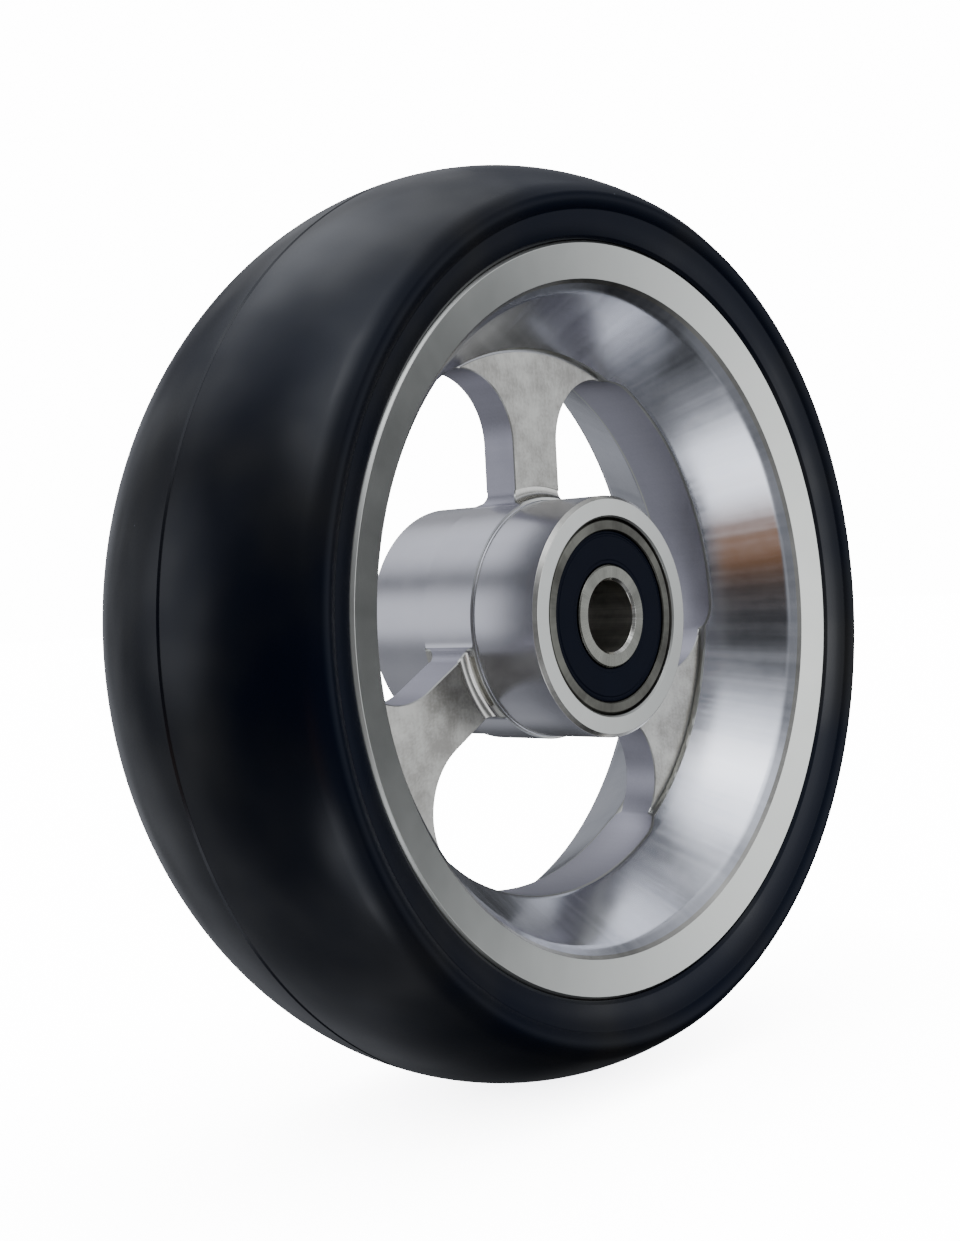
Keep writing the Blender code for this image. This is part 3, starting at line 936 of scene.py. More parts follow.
@dataclass
class Rim:
    """Turned rim ring, web and hub in one piece, with three milled windows between its spokes."""

    radius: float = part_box("rim")[1].x / MM
    half_width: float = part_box("rim")[1].y / MM
    edge_chamfer: float = 0.35
    lip_radius: float = 36.9        # inner edge of the face
    lip_drop: float = 1.0           # it lies this much deeper than the outer edge
    lip_chamfer: float = 0.4
    barrel_lip: float = 0.8
    barrel_lip_depth: float = 1.3
    barrel_root: float = 31.0
    barrel_step: float = 0.8
    channel_radius: float = 38.8
    channel_half_width: float = 12.2
    channel_draft: float = 0.4
    spokes: int = 3
    first_spoke: float = 90.0       # degrees, from +X towards +Z of the world
    spoke_width: float = 7.7
    spoke_half: float = 2.3
    window_outer: float = 31.4
    window_inner: float = 13.85
    outer_corner: float = 8.0
    inner_corner: float = 2.2
    burr: float = 0.12              # chamfer along the windows' edges
    hub_radius: float = 13.5
    hub_half: float = 12.6
    hub_chamfer: float = 0.4
    collar_radius: float = 13.95
    collar_top: float = 3.7
    collar_round: float = 0.08
    collar_fillet: float = 1.0
    fillet_steps: int = 8
    collar_draft: float = 0.03
    undercut: float = 0.12          # depth of the relief groove at each end of the spokes' faces
    undercut_width: float = 0.25
    seat_radius: float = 11.06
    seat_floor: float = 5.24
    bore_radius: float = 9.6
    web_edge: float = 32.2          # the web's patch ends here, outside the windows
    web_ring: float = 0.35          # from the windows' outer edge to a ring of points that evens the mesh
    corner_steps: Steps = (14, 26)  # facets in a window's inner and outer corners
    steps: int = 360

    # -- the web, as a height over the wheel's middle plane --

    def web_profile(self) -> list[Corner]:
        """Lay out the web's front, from the collar to the barrel.

        Returns:
            Its corners from the axle outwards, with heights over the wheel's middle plane.
        """
        draft, groove, width = self.collar_draft, self.undercut, self.undercut_width
        fillet = self.collar_fillet
        centre = Vector((self.collar_radius + draft + fillet, self.spoke_half - groove + fillet))
        hollow = []
        for i in range(self.fillet_steps + 1):
            angle = math.radians(180.0 + 90.0 * i / self.fillet_steps)
            point = centre + fillet * Vector((math.cos(angle), math.sin(angle)))
            hollow.append(Corner(point.x + i * WELD / MM, point.y, 0, RimSurface.ROOT))
        lip = Vector(self.barrel_mouth())
        root = Vector((self.barrel_root + self.undercut_width / 2, self.spoke_half + self.barrel_step))
        edge = root + (lip - root) * ((self.web_edge - root.x) / (lip.x - root.x))
        return [
            Corner(self.hub_radius + self.collar_round, self.collar_top, 0, RimSurface.HUB_END),
            Corner(self.collar_radius - self.collar_round, self.collar_top, 0, RimSurface.HUB_END),
            Corner(self.collar_radius, self.collar_top - self.collar_round, 0, RimSurface.ROOT),
            *hollow,
            # The groove walls next to the spokes' faces, and the floor of the groove by the barrel, take the
            # dark bored finish: painted shade in the grooves.
            Corner(centre.x + width, self.spoke_half - groove, 0, RimSurface.BORED),
            Corner(centre.x + width + draft, self.spoke_half, 0, RimSurface.SPOKE),
            Corner(self.barrel_root - 2 * draft - width, self.spoke_half, 0, RimSurface.BORED),
            Corner(self.barrel_root - draft - width, self.spoke_half - groove, 0, RimSurface.BORED),
            Corner(self.barrel_root - draft, self.spoke_half - groove, 0, RimSurface.HUB_END),
            Corner(self.barrel_root, root.y - width, 0, RimSurface.HUB_END),
            Corner(root.x, root.y, 0, RimSurface.BARREL),
            Corner(edge.x, edge.y, 0, RimSurface.BARREL),
        ]

    def barrel_mouth(self) -> Point:
        """Place where the barrel meets the lip at its mouth."""
        return (self.lip_radius - self.barrel_lip, self.half_width - self.lip_drop - self.barrel_lip_depth)

    def web_span(self, radius: float) -> tuple[Corner, Corner]:
        """Find the part of the web's profile that a radius lies on.

        Args:
            radius: the radius.

        Returns:
            The corners before and after it.
        """
        profile = self.web_profile()
        for low, high in zip(profile, profile[1:]):
            if radius <= high.radius:
                return low, high
        return profile[-2], profile[-1]

    def web_height(self, radius: float) -> float:
        """Find the height of the web's surface.

        Args:
            radius: where on the web.

        Returns:
            Millimetres from the wheel's middle plane.
        """
        low, high = self.web_span(radius)
        share = (radius - low.radius) / (high.radius - low.radius)
        return low.axial + (high.axial - low.axial) * min(max(share, 0.0), 1.0)

    # -- the windows --

    def corner_arc(self, circle: float, corner: float, grow: float, outside: bool,
                   steps: int) -> list[Vector]:
        """Rounded corner of a window that opens along +X, from the spoke's side to a circle.

        Args:
            circle: radius of the circle round the axle.
            corner: radius of the rounded corner.
            grow: how much larger the window is than its own size on every side.
            outside: whether the corner lies outside the circle.
            steps: facets in the arc.

        Returns:
            Points of the arc.
        """
        half_pitch = math.pi / self.spokes
        along = Vector((math.cos(half_pitch), math.sin(half_pitch)))
        into = Vector((math.sin(half_pitch), -math.cos(half_pitch)))
        reach = circle + corner if outside else circle - corner
        offset = self.spoke_width / 2 + corner
        centre = along * math.sqrt(reach ** 2 - offset ** 2) + into * offset
        to_side = -into
        to_circle = centre.normalized() * (-1.0 if outside else 1.0)
        sweep = math.atan2(to_side.x * to_circle.y - to_side.y * to_circle.x, to_side.dot(to_circle))
        turns = [Matrix.Rotation(sweep * i / steps, 2) for i in range(steps + 1)]
        return [centre + turn @ to_side * (corner + grow) for turn in turns]

    def window_outline(self, grow: float) -> list[Vector]:
        """Closed outline of a window that opens along +X.

        Args:
            grow: how much larger it is than its own size on every side.

        Returns:
            Points of the outline.
        """
        inner = self.corner_arc(self.window_inner, self.inner_corner, grow, True, self.corner_steps[0])
        outer = self.corner_arc(self.window_outer, self.outer_corner, grow, False, self.corner_steps[1])
        upper = inner[::-1] + outer
        lower = [Vector((point.x, -point.y)) for point in reversed(upper)]
        return upper + self.arc_down(outer[-1]) + lower + self.arc_down(inner[-1])[::-1]

    def arc_down(self, point: Vector) -> list[Vector]:
        """Follow a circle round the axle from a point to its mirror image below the X axis.

        Args:
            point: the point above the X axis.

        Returns:
            Points between the two, without them.
        """
        start = math.atan2(point.y, point.x)
        count = 2 * max(2, round(start * self.steps / math.tau))
        angles = [start * (1 - 2 * i / count) for i in range(1, count)]
        return [point.length * Vector((math.cos(angle), math.sin(angle))) for angle in angles]

    def windows(self, grow: float) -> list[list[Vector]]:
        """Lay out all windows, each turned to its place.

        Args:
            grow: how much larger they are than their own size on every side.

        Returns:
            One outline for each window.
        """
        pitch = 360.0 / self.spokes
        angles = [-math.radians(self.first_spoke + pitch * (i + 0.5)) for i in range(self.spokes)]
        outline = self.window_outline(grow)
        return [[Matrix.Rotation(angle, 2) @ point for point in outline] for angle in angles]

    # -- the web's mesh --

    def web_triangles(self) -> tuple[list[Vector], list[Face]]:
        """Divide the web between its windows into triangles, as seen along the axle.

        Returns:
            Points, and three point numbers for each triangle.
        """
        profile = self.web_profile()
        rings = [corner.radius for corner in profile] + [self.window_outer + self.web_ring]
        loops = []
        for radius in rings:
            angles = [math.tau * i / self.steps for i in range(self.steps)]
            loops.append([Vector((radius * math.cos(a), radius * math.sin(a))) for a in angles])
        openings = self.windows(self.burr)
        points, edges = [], []
        for loop in loops + openings:
            first = len(points)
            points += loop
            edges += [(first + i, first + (i + 1) % len(loop)) for i in range(len(loop))]
        points, _, faces, *_ = delaunay_2d_cdt(points, edges, [], 0, SAME_POINT)
        outline = self.window_outline(self.burr)
        upper = [point for point in outline if point.y >= 0.0]
        kept = []
        for face in faces:
            middle = sum((points[i] for i in face), Vector((0.0, 0.0))) / 3
            inside_web = profile[0].radius < middle.length * ROUND_OFF and middle.length < profile[-1].radius
            if inside_web and not self.in_window(middle, upper):
                kept.append(tuple(face))
        return points, kept

    def in_window(self, point: Vector, upper: list[Vector]) -> bool:
        """Whether a point lies in a window.

        Args:
            point: point in the wheel's plane.
            upper: the half above the X axis of the outline of a window that opens along +X.

        Returns:
            True in a window.
        """
        pitch = math.tau / self.spokes
        turn = math.atan2(point.y, point.x) + math.radians(self.first_spoke) + pitch / 2
        turn = abs((turn + pitch / 2) % pitch - pitch / 2)
        radius = point.length
        place = Vector((radius * math.cos(turn), radius * math.sin(turn)))
        inside = False
        for a, b in zip(upper, upper[1:] + upper[:1]):
            if (a.y > place.y) != (b.y > place.y):
                if place.x < a.x + (place.y - a.y) / (b.y - a.y) * (b.x - a.x):
                    inside = not inside
        return inside

    def window_loops(self, points: list[Vector], faces: list[Face]) -> list[list[int]]:
        """Find the edges of the web round its windows.

        Args:
            points: points of the web.
            faces: its triangles.

        Returns:
            Closed loops of point numbers, with the window on the left.
        """
        sides: dict[tuple[int, int], int] = {}
        for face in faces:
            for a, b in zip(face, face[1:] + face[:1]):
                sides[(a, b)] = 1
        low = self.web_profile()[0].radius + EDGE_BAND
        high = self.web_edge - EDGE_BAND
        following = {}
        for a, b in sides:
            if (b, a) not in sides and low < points[a].length < high:
                following[b] = a
        loops = []
        while following:
            start, here = following.popitem()
            loop = [start]
            while here != start:
                loop.append(here)
                here = following.pop(here)
            loops.append(loop)
        return loops

    def build_web(self, solid: Solid) -> None:
        """Add both faces of the web, and the windows' chamfers and walls.

        Args:
            solid: the rim.
        """
        points, faces = self.web_triangles()
        surfaces = []
        for face in faces:
            middle = sum((points[i] for i in face), Vector((0.0, 0.0))) / 3
            surfaces.append(self.web_span(middle.length)[0].surface)
        loops = self.window_loops(points, faces)
        for side in Side:
            lifted = [(p.x, p.y, side.value * self.web_height(p.length)) for p in points]
            solid.add(lifted, faces, surfaces)
        for loop in loops:
            self.build_wall(solid, [points[i] for i in loop])

    def build_wall(self, solid: Solid, edge: list[Vector]) -> None:
        """Add the chamfers and the wall round one window.

        Args:
            solid: the rim.
            edge: the window's edge in order, with the window on its left.
        """
        count = len(edge)
        tops, rims = [], []
        for i, point in enumerate(edge):
            along = (edge[(i + 1) % count] - edge[i - 1]).normalized()
            inner = point + Vector((-along.y, along.x)) * self.burr
            rims.append((point, self.web_height(point.length)))
            tops.append((inner, self.web_height(inner.length) - self.burr))
        rows = [(rims, 1), (tops, 1), (tops, -1), (rims, -1)]
        placed = [(p.x, p.y, sign * height) for row, sign in rows for p, height in row]
        faces, surfaces = [], []
        for row, (surface, hub_surface) in enumerate(WALL_ROWS):
            near, far = row * count, (row + 1) * count
            for i in range(count):
                j = (i + 1) % count
                faces.append((near + i, near + j, far + j, far + i))
                on_hub = max(edge[i].length, edge[j].length) < self.window_inner
                surfaces.append(hub_surface if on_hub else surface)
        solid.add(placed, faces, surfaces)

    # -- the turned rest --

    def ring_section(self) -> list[Corner]:
        """Lay out the rim ring, from the web's outer edge round the outside to the other side.

        Returns:
            Corners of the open section.
        """
        edge = self.web_profile()[-1]
        mouth = self.barrel_mouth()
        lip = self.half_width - self.lip_drop
        floor = self.channel_half_width - self.channel_draft
        half = [
            Corner(self.channel_radius, floor, 0.2, RimSurface.BORED),
            Corner(self.radius, self.channel_half_width, 0.1, RimSurface.BORED),
            Corner(self.radius, self.half_width - self.edge_chamfer, 0.05, RimSurface.HUB_END),
            Corner(self.radius - self.edge_chamfer, self.half_width, 0.06, RimSurface.FACE),
            Corner(self.lip_radius + self.lip_chamfer, lip, 0.10, RimSurface.ROOT),
            Corner(self.lip_radius, lip - self.lip_chamfer, 0.30, RimSurface.BARREL),
            Corner(mouth[0], mouth[1], 3.2, RimSurface.BARREL),
            Corner(edge.radius, edge.axial, 0, RimSurface.BARREL),
        ]
        return rounded(open_mirrored(half), closed=False)

    def hub_section(self) -> list[Corner]:
        """Lay out the hub, from the collar over its end and through its bore to the other side.

        Returns:
            Corners of the open section.
        """
        half = [
            Corner(self.bore_radius, self.seat_floor, 0.15, RimSurface.BORED),
            Corner(self.seat_radius, self.seat_floor, 0.05, RimSurface.BORED),
            Corner(self.seat_radius, self.hub_half - self.hub_chamfer / 2, 0.03, RimSurface.HUB_END),
            Corner(self.seat_radius + self.hub_chamfer / 2, self.hub_half, 0.03, RimSurface.HUB_END),
            # The outer chamfer of the hub's end takes the lighter root finish, whose lighter colour is a
            # painted glint.
            Corner(self.hub_radius - self.hub_chamfer, self.hub_half, 0.06, RimSurface.ROOT),
            Corner(self.hub_radius, self.hub_half - self.hub_chamfer, 0.06, RimSurface.HUB),
            Corner(self.hub_radius, self.collar_top + self.collar_round, 0, RimSurface.HUB),
            Corner(self.hub_radius + self.collar_round, self.collar_top, 0, RimSurface.HUB),
        ]
        return rounded(open_mirrored(half), closed=False)

    def build(self) -> None:
        """Make the rim and put it on the wheel."""
        solid = Solid()
        self.build_web(solid)
        solid.turn(self.ring_section(), self.steps, closed=False)
        solid.turn(self.hub_section(), self.steps, closed=False)
        finishes = [RIM_FINISHES[surface] for surface in RimSurface]
        place_piece(solid.make("machined_rim", finishes, METAL_SHARP), "rim", Body.WHEEL)


# ---- bearings ----

class InnerSurface(IntEnum):
    """Surfaces of the inner ring."""

    GROUND = 0
    BORE = 1
    CHAMFER = 2


INNER_FINISHES = [GROUND_INNER, GROUND_BORE_LIT, BEARING_CHAMFER]      # in the order of InnerSurface
SEAL_LIPS = (               # millimetres from the seal's inner edge, share of half its thickness, rounding
    (0.0, 0.3, 0.05), (0.12, 0.8, 0.08), (0.42, 0.8, 0.08), (0.55, 1.0, 0.08),
)
SEAL_RIM = (                # the same from its outer edge, inwards
    (0.62, 1.0, 0.06), (0.50, 0.72, 0.06), (0.34, 0.72, 0.06), (0.24, 1.0, 0.06), (0.0, 0.7, 0.08),
)


@dataclass
class Bearing:
    """Sealed deep-groove ball bearing of size 608."""

    side: Side
    radius: float = 11.0
    bore: float = 4.0
    half: float = 3.5
    pitch: float = 7.5
    balls: int = 7
    ball_radius: float = 1.93
    land: float = 1.4               # from the pitch circle to the lands
    seal_seat: float = 2.1          # from the pitch circle to the seal's seat
    inner_step: float = 1.75        # from the pitch circle to the inner ring's ends
    seat_depth: float = 1.1
    groove: float = 2.05
    ball_play: float = 0.08
    chamfer: float = 0.3
    seat_chamfer: float = 0.12      # at the mouth of the seal's seat
    shoulder_chamfer: float = 0.15  # at the inner ring's ends
    race_steps: int = 14
    seal_thickness: float = 0.6
    seal_recess: float = 0.2
    seal_gap: float = 0.06
    cage_half: float = 0.75         # half its radial thickness
    cage_back: float = 2.22
    cage_front: float = 0.9
    cage_round: float = 0.12
    pocket_clearance: float = 0.09
    steps: int = 160

    centre: float = field(init=False)

    def __post_init__(self) -> None:
        """Find the bearing's middle in the frame."""
        low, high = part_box(f"{self.side.label}_outer_ring")
        self.centre = (low.y + high.y) / 2 / MM

    def race(self, race_radius: float, outward: int) -> list[Corner]:
        """Lay out a raceway.

        Args:
            race_radius: radius of its bottom.
            outward: 1 on the outer ring, -1 on the inner one.

        Returns:
            Corners from its axial > 0 edge to the other.
        """
        middle = race_radius - outward * self.groove
        land = self.pitch + outward * self.land
        edge = math.acos(abs(land - middle) / self.groove)
        arc = []
        for i in range(self.race_steps + 1):
            angle = edge * (1 - 2 * i / self.race_steps)
            radius = middle + outward * self.groove * math.cos(angle)
            arc.append(Corner(radius, self.groove * math.sin(angle)))
        return arc

    def outer_section(self) -> list[Corner]:
        """Lay out the outer ring.

        Returns:
            Corners of its section.
        """
        seat = self.pitch + self.seal_seat
        step = self.half - self.seat_depth
        land = self.pitch + self.land
        arc = self.race(self.pitch + self.ball_radius + self.ball_play, 1)[::-1]
        upper = [
            Corner(land, step, 0.05),
            Corner(seat, step, 0.10),
            Corner(seat, self.half - self.seat_chamfer, 0.03),
            Corner(seat + self.seat_chamfer, self.half, 0.03),
            Corner(self.radius - self.chamfer, self.half, 0.10),
            Corner(self.radius, self.half - self.chamfer, 0.15),
        ]
        return rounded(upper + [Corner(c.radius, -c.axial, c.rounding) for c in reversed(upper)] + arc)

    def inner_section(self) -> list[Corner]:
        """Lay out the inner ring.

        Returns:
            Corners of its section.
        """
        shoulder = self.pitch - self.inner_step
        step = self.half - self.seat_depth
        land = self.pitch - self.land
        upper = [
            Corner(shoulder - self.shoulder_chamfer, self.half, 0.04),
            Corner(shoulder, self.half - self.shoulder_chamfer, 0.04),
            Corner(shoulder, step, 0.05),
            Corner(land, step, 0.05),
        ]
        lower = [Corner(c.radius, -c.axial, c.rounding) for c in reversed(upper)]
        bore = [
            Corner(self.bore + self.chamfer, -self.half, 0.06, InnerSurface.CHAMFER),
            Corner(self.bore, self.chamfer - self.half, 0.12, InnerSurface.BORE),
            Corner(self.bore, self.half - self.chamfer, 0.12, InnerSurface.CHAMFER),
            Corner(self.bore + self.chamfer, self.half, 0.06, InnerSurface.GROUND),
        ]
        arc = self.race(self.pitch - self.ball_radius - self.ball_play, -1)
        return rounded(upper + arc + lower + bore)

    def seal_section(self) -> list[Corner]:
        """Lay out a seal that faces axial > 0: a flat face between two low lips.

        Returns:
            Corners of its section.
        """
        inner = self.pitch - self.inner_step + self.seal_gap
        outer = self.pitch + self.seal_seat - self.seal_gap
        top = self.seal_thickness / 2
        back = [Corner(outer, -top, 0.08), Corner(inner, -top, 0.08)]
        lips = [Corner(inner + across, top * share, rounding) for across, share, rounding in SEAL_LIPS]
        rim = [Corner(outer - across, top * share, rounding) for across, share, rounding in SEAL_RIM]
        return rounded(back + lips + rim)

    def shifted(self, section: list[Corner], axial: float, direction: int = 1) -> list[Corner]:
        """Move a section along the axle, turned end for end where direction is -1."""
        return [Corner(c.radius, axial + direction * c.axial, 0.0, c.surface) for c in section]

    def ball_places(self) -> list[Vector]:
        """Middles of the balls in millimetres, in the world's directions, the first one at the top."""
        angles = [math.tau * i / self.balls for i in range(self.balls)]
        return [Vector((self.pitch * math.sin(a), self.centre, self.pitch * math.cos(a))) for a in angles]

    def build_rings(self) -> None:
        """Make the two rings."""
        for part, section, finishes, body in (
                ("outer_ring", self.outer_section(), [GROUND_RING], Body.WHEEL),
                ("inner_ring", self.inner_section(), INNER_FINISHES, Body.AXLE_SIDE)):
            solid = Solid()
            solid.turn(self.shifted(section, self.centre), self.steps)
            piece = solid.make(f"{self.side.label}_bearing_{part}", finishes, METAL_SHARP)
            place_piece(piece, f"{self.side.label}_{part}", body)

    def build_seals(self) -> None:
        """Make the two seals."""
        reach = self.half - self.seal_recess - self.seal_thickness / 2
        for place, direction in (("outboard", self.side.value), ("inboard", -self.side.value)):
            solid = Solid()
            section = self.shifted(self.seal_section(), self.centre + direction * reach, direction)
            solid.turn(section, self.steps)
            name = f"{self.side.label}_{place}"
            piece = solid.make(f"{name}_rubber_seal", [SEAL_MOULDED], RUBBER_SHARP)
            place_piece(piece, f"{name}_seal", Body.WHEEL)

    def build_balls(self) -> None:
        """Make the balls."""
        for i, place in enumerate(self.ball_places()):
            name = f"{self.side.label}_ball_{i + 1}"
            mesh = ball_mesh(f"{name}_lapped", self.ball_radius, [Vector()])
            mesh.materials.append(finish_material(LAPPED_BALL))
            ball = lay_on_axle(f"{name}_lapped", mesh, BALL_SHARP)
            ball.location = place * MM
            place_piece(ball, name, body_of(name))

    def build_cage(self) -> None:
        """Make the crown cage and cut its pockets."""
        back, front = self.side.value * self.cage_back, -self.side.value * self.cage_front
        outer, inner = self.pitch + self.cage_half, self.pitch - self.cage_half
        places = ((outer, back), (outer, front), (inner, front), (inner, back))
        section = [Corner(radius, axial, self.cage_round) for radius, axial in places]
        solid = Solid()
        solid.turn(self.shifted(rounded(section), self.centre), self.steps)
        name = f"{self.side.label}_cage"
        piece = solid.make(f"{name}_moulded", [CAGE_NYLON], CAGE_SHARP)
        turned_back = [Vector((place.x, -place.z, place.y)) for place in self.ball_places()]
        mesh = ball_mesh(f"{name}_pockets", self.ball_radius + self.pocket_clearance, turned_back)
        mesh.materials.append(finish_material(CAGE_NYLON))
        cut_away(piece, lay_on_axle(f"{name}_pockets", mesh, BALL_SHARP))
        place_piece(piece, name, Body[f"{self.side.name}_CAGE"])

    def build(self) -> None:
        """Make the whole bearing."""
        self.build_rings()
        self.build_seals()
        self.build_cage()
        self.build_balls()


BALL_CUTS = 11              # cuts across each side of the cube that a ball is made from


def ball_mesh(name: str, radius: float, centres: list[Vector]) -> bpy.types.Mesh:
    """Balls whose quads are about the same size all over.

    Args:
        name: name of the mesh.
        radius: radius of a ball in millimetres.
        centres: middles of the balls in millimetres.

    Returns:
        The mesh.
    """
    work = bmesh.new()
    bmesh.ops.create_cube(work, size=2.0)
    bmesh.ops.subdivide_edges(work, edges=work.edges[:], cuts=BALL_CUTS, use_grid_fill=True)
    work.verts.index_update()
    spread = [Vector(math.tan(part * math.pi / 4) for part in vert.co) for vert in work.verts]
    shell = [place.normalized() * radius for place in spread]
    faces = [[vert.index for vert in face.verts] for face in work.faces]
    work.free()
    points = [(centre + point) * MM for centre in centres for point in shell]
    copies = [[i * len(shell) + k for k in face] for i in range(len(centres)) for face in faces]
    mesh = bpy.data.meshes.new(name)
    mesh.from_pydata(points, [], copies)
    return mesh


def cut_away(piece: bpy.types.Object, cutter: bpy.types.Object) -> None:
    """Subtract a cutter from a piece for good, and delete the cutter.

    Args:
        piece: the piece to cut.
        cutter: what is cut away.
    """
    boolean = piece.modifiers.new("pockets", "BOOLEAN")
    boolean.operation = "DIFFERENCE"
    boolean.solver = "EXACT"
    boolean.object = cutter
    evaluated = piece.evaluated_get(bpy.context.evaluated_depsgraph_get())
    mesh = bpy.data.meshes.new_from_object(evaluated)
    piece.modifiers.clear()
    piece.data = mesh
    mesh.shade_smooth()
    mesh.set_sharp_from_angle(angle=math.radians(CUT_SHARP))
    bpy.data.objects.remove(cutter, do_unlink=True)


@dataclass
class Spacer:
    """Sleeve between the inner rings of the two bearings."""

    radius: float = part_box("bearing_spacer")[1].x / MM
    half_length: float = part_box("bearing_spacer")[1].y / MM
    bore: float = 4.1
    chamfer: float = 0.25
    edge: float = 0.06
    steps: int = 128

    def build(self) -> None:
        """Make the spacer and put it on the axle."""
        places = (
            (self.radius, self.half_length - self.chamfer),
            (self.radius - self.chamfer, self.half_length),
            (self.bore + self.chamfer, self.half_length),
            (self.bore, self.half_length - self.chamfer),
        )
        half = [Corner(radius, axial, self.edge) for radius, axial in places]
        solid = Solid()
        solid.turn(rounded(mirrored(half)), self.steps)
        piece = solid.make("turned_spacer", [SPACER_TURNED], METAL_SHARP)
        place_piece(piece, "bearing_spacer", Body.AXLE_SIDE)


# ---- studio ----

WHITE = (1.0, 1.0, 1.0)


@dataclass(frozen=True)
class Glow:
    """Soft round patch of the surroundings, brighter or darker than what is behind it."""

    azimuth: float              # degrees round from the front; 90 is the world's +X
    elevation: float
    core: float                 # degrees from its middle to where it starts to fade
    reach: float                # degrees from its middle to where it ends
    light: float                # what it adds
    shade: float = 0.0          # how much it hides of what is behind it


@dataclass(frozen=True)
class Softbox:
    """Rectangular light that looks at the wheel."""

    name: str
    azimuth: float              # degrees round from the front
    elevation: float
    distance: float             # metres
    size: Point                 # width and height in metres
    power: float                # watts


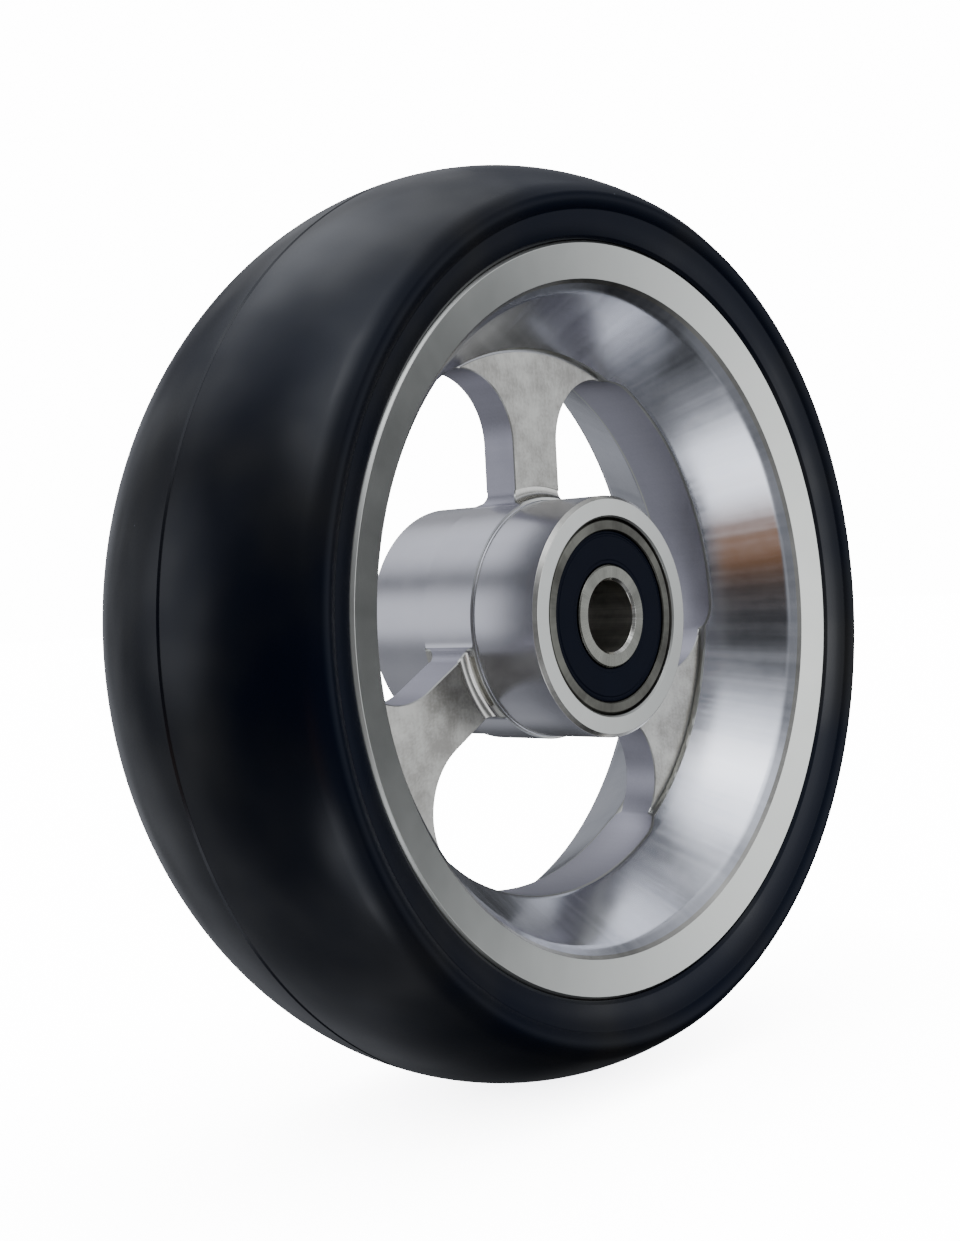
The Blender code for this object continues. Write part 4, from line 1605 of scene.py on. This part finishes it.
@dataclass
class Studio:
    """Pale floor, soft lights, the surroundings that the metal mirrors, and the camera."""

    floor_size: float = 4.0
    camera_target: Place = (3.6, -4.5, 6.5)     # millimetres
    camera_azimuth: float = -50.5               # degrees round from the front
    camera_elevation: float = -0.5
    camera_roll: float = -3.0
    camera_distance: float = 189.25             # millimetres
    lens: float = 47.2
    clip: Point = (0.01, 20.0)                  # metres
    shift: Point = (-0.0774, -0.0486)
    ambient: float = 0.16
    clutter: float = 0.30                       # how much the surroundings change from place to place
    warm_place: Glow = Glow(-65.0, -24.0, 2.0, 15.0, 0.0)
    warm_colour: Colour = (0.36, 0.18, 0.085)
    backdrop: float = 15.0
    floor_glow: float = 15.0
    paper_colour: Colour = (0.60, 0.60, 0.61)
    shadow_colour: Colour = (0.25, 0.25, 0.27)
    shadow_reach: float = 0.05                  # metres
    shadow_softness: float = 0.6
    glows: tuple[Glow, ...] = (
        Glow(0.0, 90.0, 20.0, 60.0, 0.55),
        Glow(20.0, 6.0, 14.0, 47.0, 1.55),
        Glow(-58.0, 58.0, 12.0, 34.0, 2.00),
        Glow(-62.0, -47.0, 8.0, 22.0, 2.40),
        Glow(-134.0, 6.0, 4.0, 23.0, 1.05),
        Glow(-164.0, 57.0, 8.0, 34.0, 0.85),
        Glow(-170.0, -55.0, 15.0, 45.0, 0.18),
        Glow(-84.0, -6.0, 18.0, 40.0, 0.0, 0.85),
        Glow(102.0, -24.0, 22.0, 52.0, 0.0, 0.85),
        Glow(92.0, -62.0, 16.0, 38.0, 0.0, 0.75),
    )
    lights: tuple[Softbox, ...] = (
        Softbox("key_softbox", -58.0, 58.0, 0.9, (0.35, 0.25), 0.55),
        Softbox("side_softbox", 24.0, 4.0, 1.0, (0.45, 0.45), 0.70),
        Softbox("back_softbox", 150.0, 35.0, 1.0, (0.5, 0.4), 0.12),
    )

    def build_floor(self) -> None:
        """Add the floor under the tyre."""
        half = self.floor_size / 2
        level = CAD_BOX[0][2]
        mesh = bpy.data.meshes.new("floor")
        corners = [(-half, -half, level), (half, -half, level), (half, half, level), (-half, half, level)]
        mesh.from_pydata(corners, [], [(0, 1, 2, 3)])
        floor = bpy.data.objects.new("floor", mesh)
        bpy.context.scene.collection.objects.link(floor)
        g = Surface("floor_paper")
        shadow = g.node("ShaderNodeAmbientOcclusion", {"samples": 12}, {"Distance": self.shadow_reach})
        open_sky = Term(g, shadow.outputs["AO"]) ** self.shadow_softness
        lit = g.blend(open_sky, self.shadow_colour, WHITE)
        g.set(base_color=self.paper_colour, roughness=0.9, specular_ior_level=0.1)
        g.set(emission_color=lit, emission_strength=self.floor_glow)
        mesh.materials.append(g.material)
        floor.visible_glossy = False
        floor.visible_diffuse = False

    def build_world(self) -> None:
        """Give the world a white backdrop, and glows and shades for the metal to mirror."""
        world = bpy.data.worlds.new("studio_world")
        bpy.context.scene.world = world
        world.use_nodes = True
        world.node_tree.nodes.clear()
        g = Graph(world.node_tree)
        outward = g.node("ShaderNodeTexCoord", {}, {}).outputs["Generated"]
        clutter = g.node("ShaderNodeTexNoise", {}, {"Vector": outward, "Scale": 3.4, "Detail": 3.0})
        level = Term(g, clutter.outputs[0]).step(0.30, 0.70) * self.clutter + self.ambient
        for glow in self.glows:
            mask = self.nearness(g, outward, glow)
            level = level * (1 - mask * glow.shade) + mask * glow.light
        grey = g.node("ShaderNodeCombineXYZ", {}, {0: level * 0.96, 1: level, 2: level * 1.10}).outputs[0]
        warm = g.blend(self.nearness(g, outward, self.warm_place), grey, self.warm_colour)
        around = g.node("ShaderNodeBackground", {}, {"Color": warm}).outputs[0]
        behind = g.node("ShaderNodeBackground", {}, {"Color": WHITE, "Strength": self.backdrop}).outputs[0]
        seen = g.node("ShaderNodeLightPath", {}, {}).outputs["Is Camera Ray"]
        mixed = g.node("ShaderNodeMixShader", {}, {0: seen, 1: around, 2: behind}).outputs[0]
        g.node("ShaderNodeOutputWorld", {}, {0: mixed})

    def nearness(self, g: Graph, outward: bpy.types.NodeSocket, glow: Glow) -> Term:
        """Mask of a glow.

        Args:
            g: the world's graph.
            outward: direction that is looked in.
            glow: the glow.

        Returns:
            Term that is 1 in the glow's core and 0 beyond its reach.
        """
        centre = tuple(direction(glow.azimuth, glow.elevation))
        dot = g.node("ShaderNodeVectorMath", {"operation": "DOT_PRODUCT"}, {0: outward, 1: centre})
        low, high = (math.cos(math.radians(angle)) for angle in (glow.reach, glow.core))
        return Term(g, dot.outputs["Value"]).step(low, high)

    def add_light(self, softbox: Softbox) -> None:
        """Add a light.

        Args:
            softbox: where it stands and how bright it is.
        """
        light = bpy.data.lights.new(softbox.name, "AREA")
        light.shape = "RECTANGLE"
        light.size, light.size_y = softbox.size
        light.energy = softbox.power
        lamp = bpy.data.objects.new(softbox.name, light)
        bpy.context.scene.collection.objects.link(lamp)
        back = direction(softbox.azimuth, softbox.elevation)
        lamp.location = back * softbox.distance
        lamp.rotation_euler = (-back).to_track_quat("-Z", "Y").to_euler()
        lamp.visible_camera = False

    def build_camera(self) -> None:
        """Add the camera."""
        data = bpy.data.cameras.new("camera")
        data.lens = self.lens
        data.shift_x, data.shift_y = self.shift
        data.clip_start, data.clip_end = self.clip
        camera = bpy.data.objects.new("camera", data)
        bpy.context.scene.collection.objects.link(camera)
        back = direction(self.camera_azimuth, self.camera_elevation)
        roll = Matrix.Rotation(math.radians(self.camera_roll), 3, "Z")
        camera.location = (Vector(self.camera_target) + back * self.camera_distance) * MM
        camera.rotation_euler = ((-back).to_track_quat("-Z", "Y").to_matrix() @ roll).to_euler()
        bpy.context.scene.camera = camera

    def build(self) -> None:
        """Make the whole studio."""
        self.build_floor()
        self.build_world()
        for light in self.lights:
            self.add_light(light)
        self.build_camera()


def direction(azimuth: float, elevation: float) -> Vector:
    """Unit vector away from the wheel; azimuth 0 is the front, 90 the world's +X."""
    turn, rise = math.radians(azimuth), math.radians(elevation)
    return Vector((math.sin(turn) * math.cos(rise), -math.cos(turn) * math.cos(rise), math.sin(rise)))


def main() -> None:
    """Build the wheel's pieces in order, then the studio."""
    logging.basicConfig(level=logging.INFO, format="%(name)s: %(message)s")
    Studio().build()
    Tyre().build()
    Rim().build()
    for side in Side:
        Bearing(side).build()
    Spacer().build()


if __name__ == "__main__":
    main()
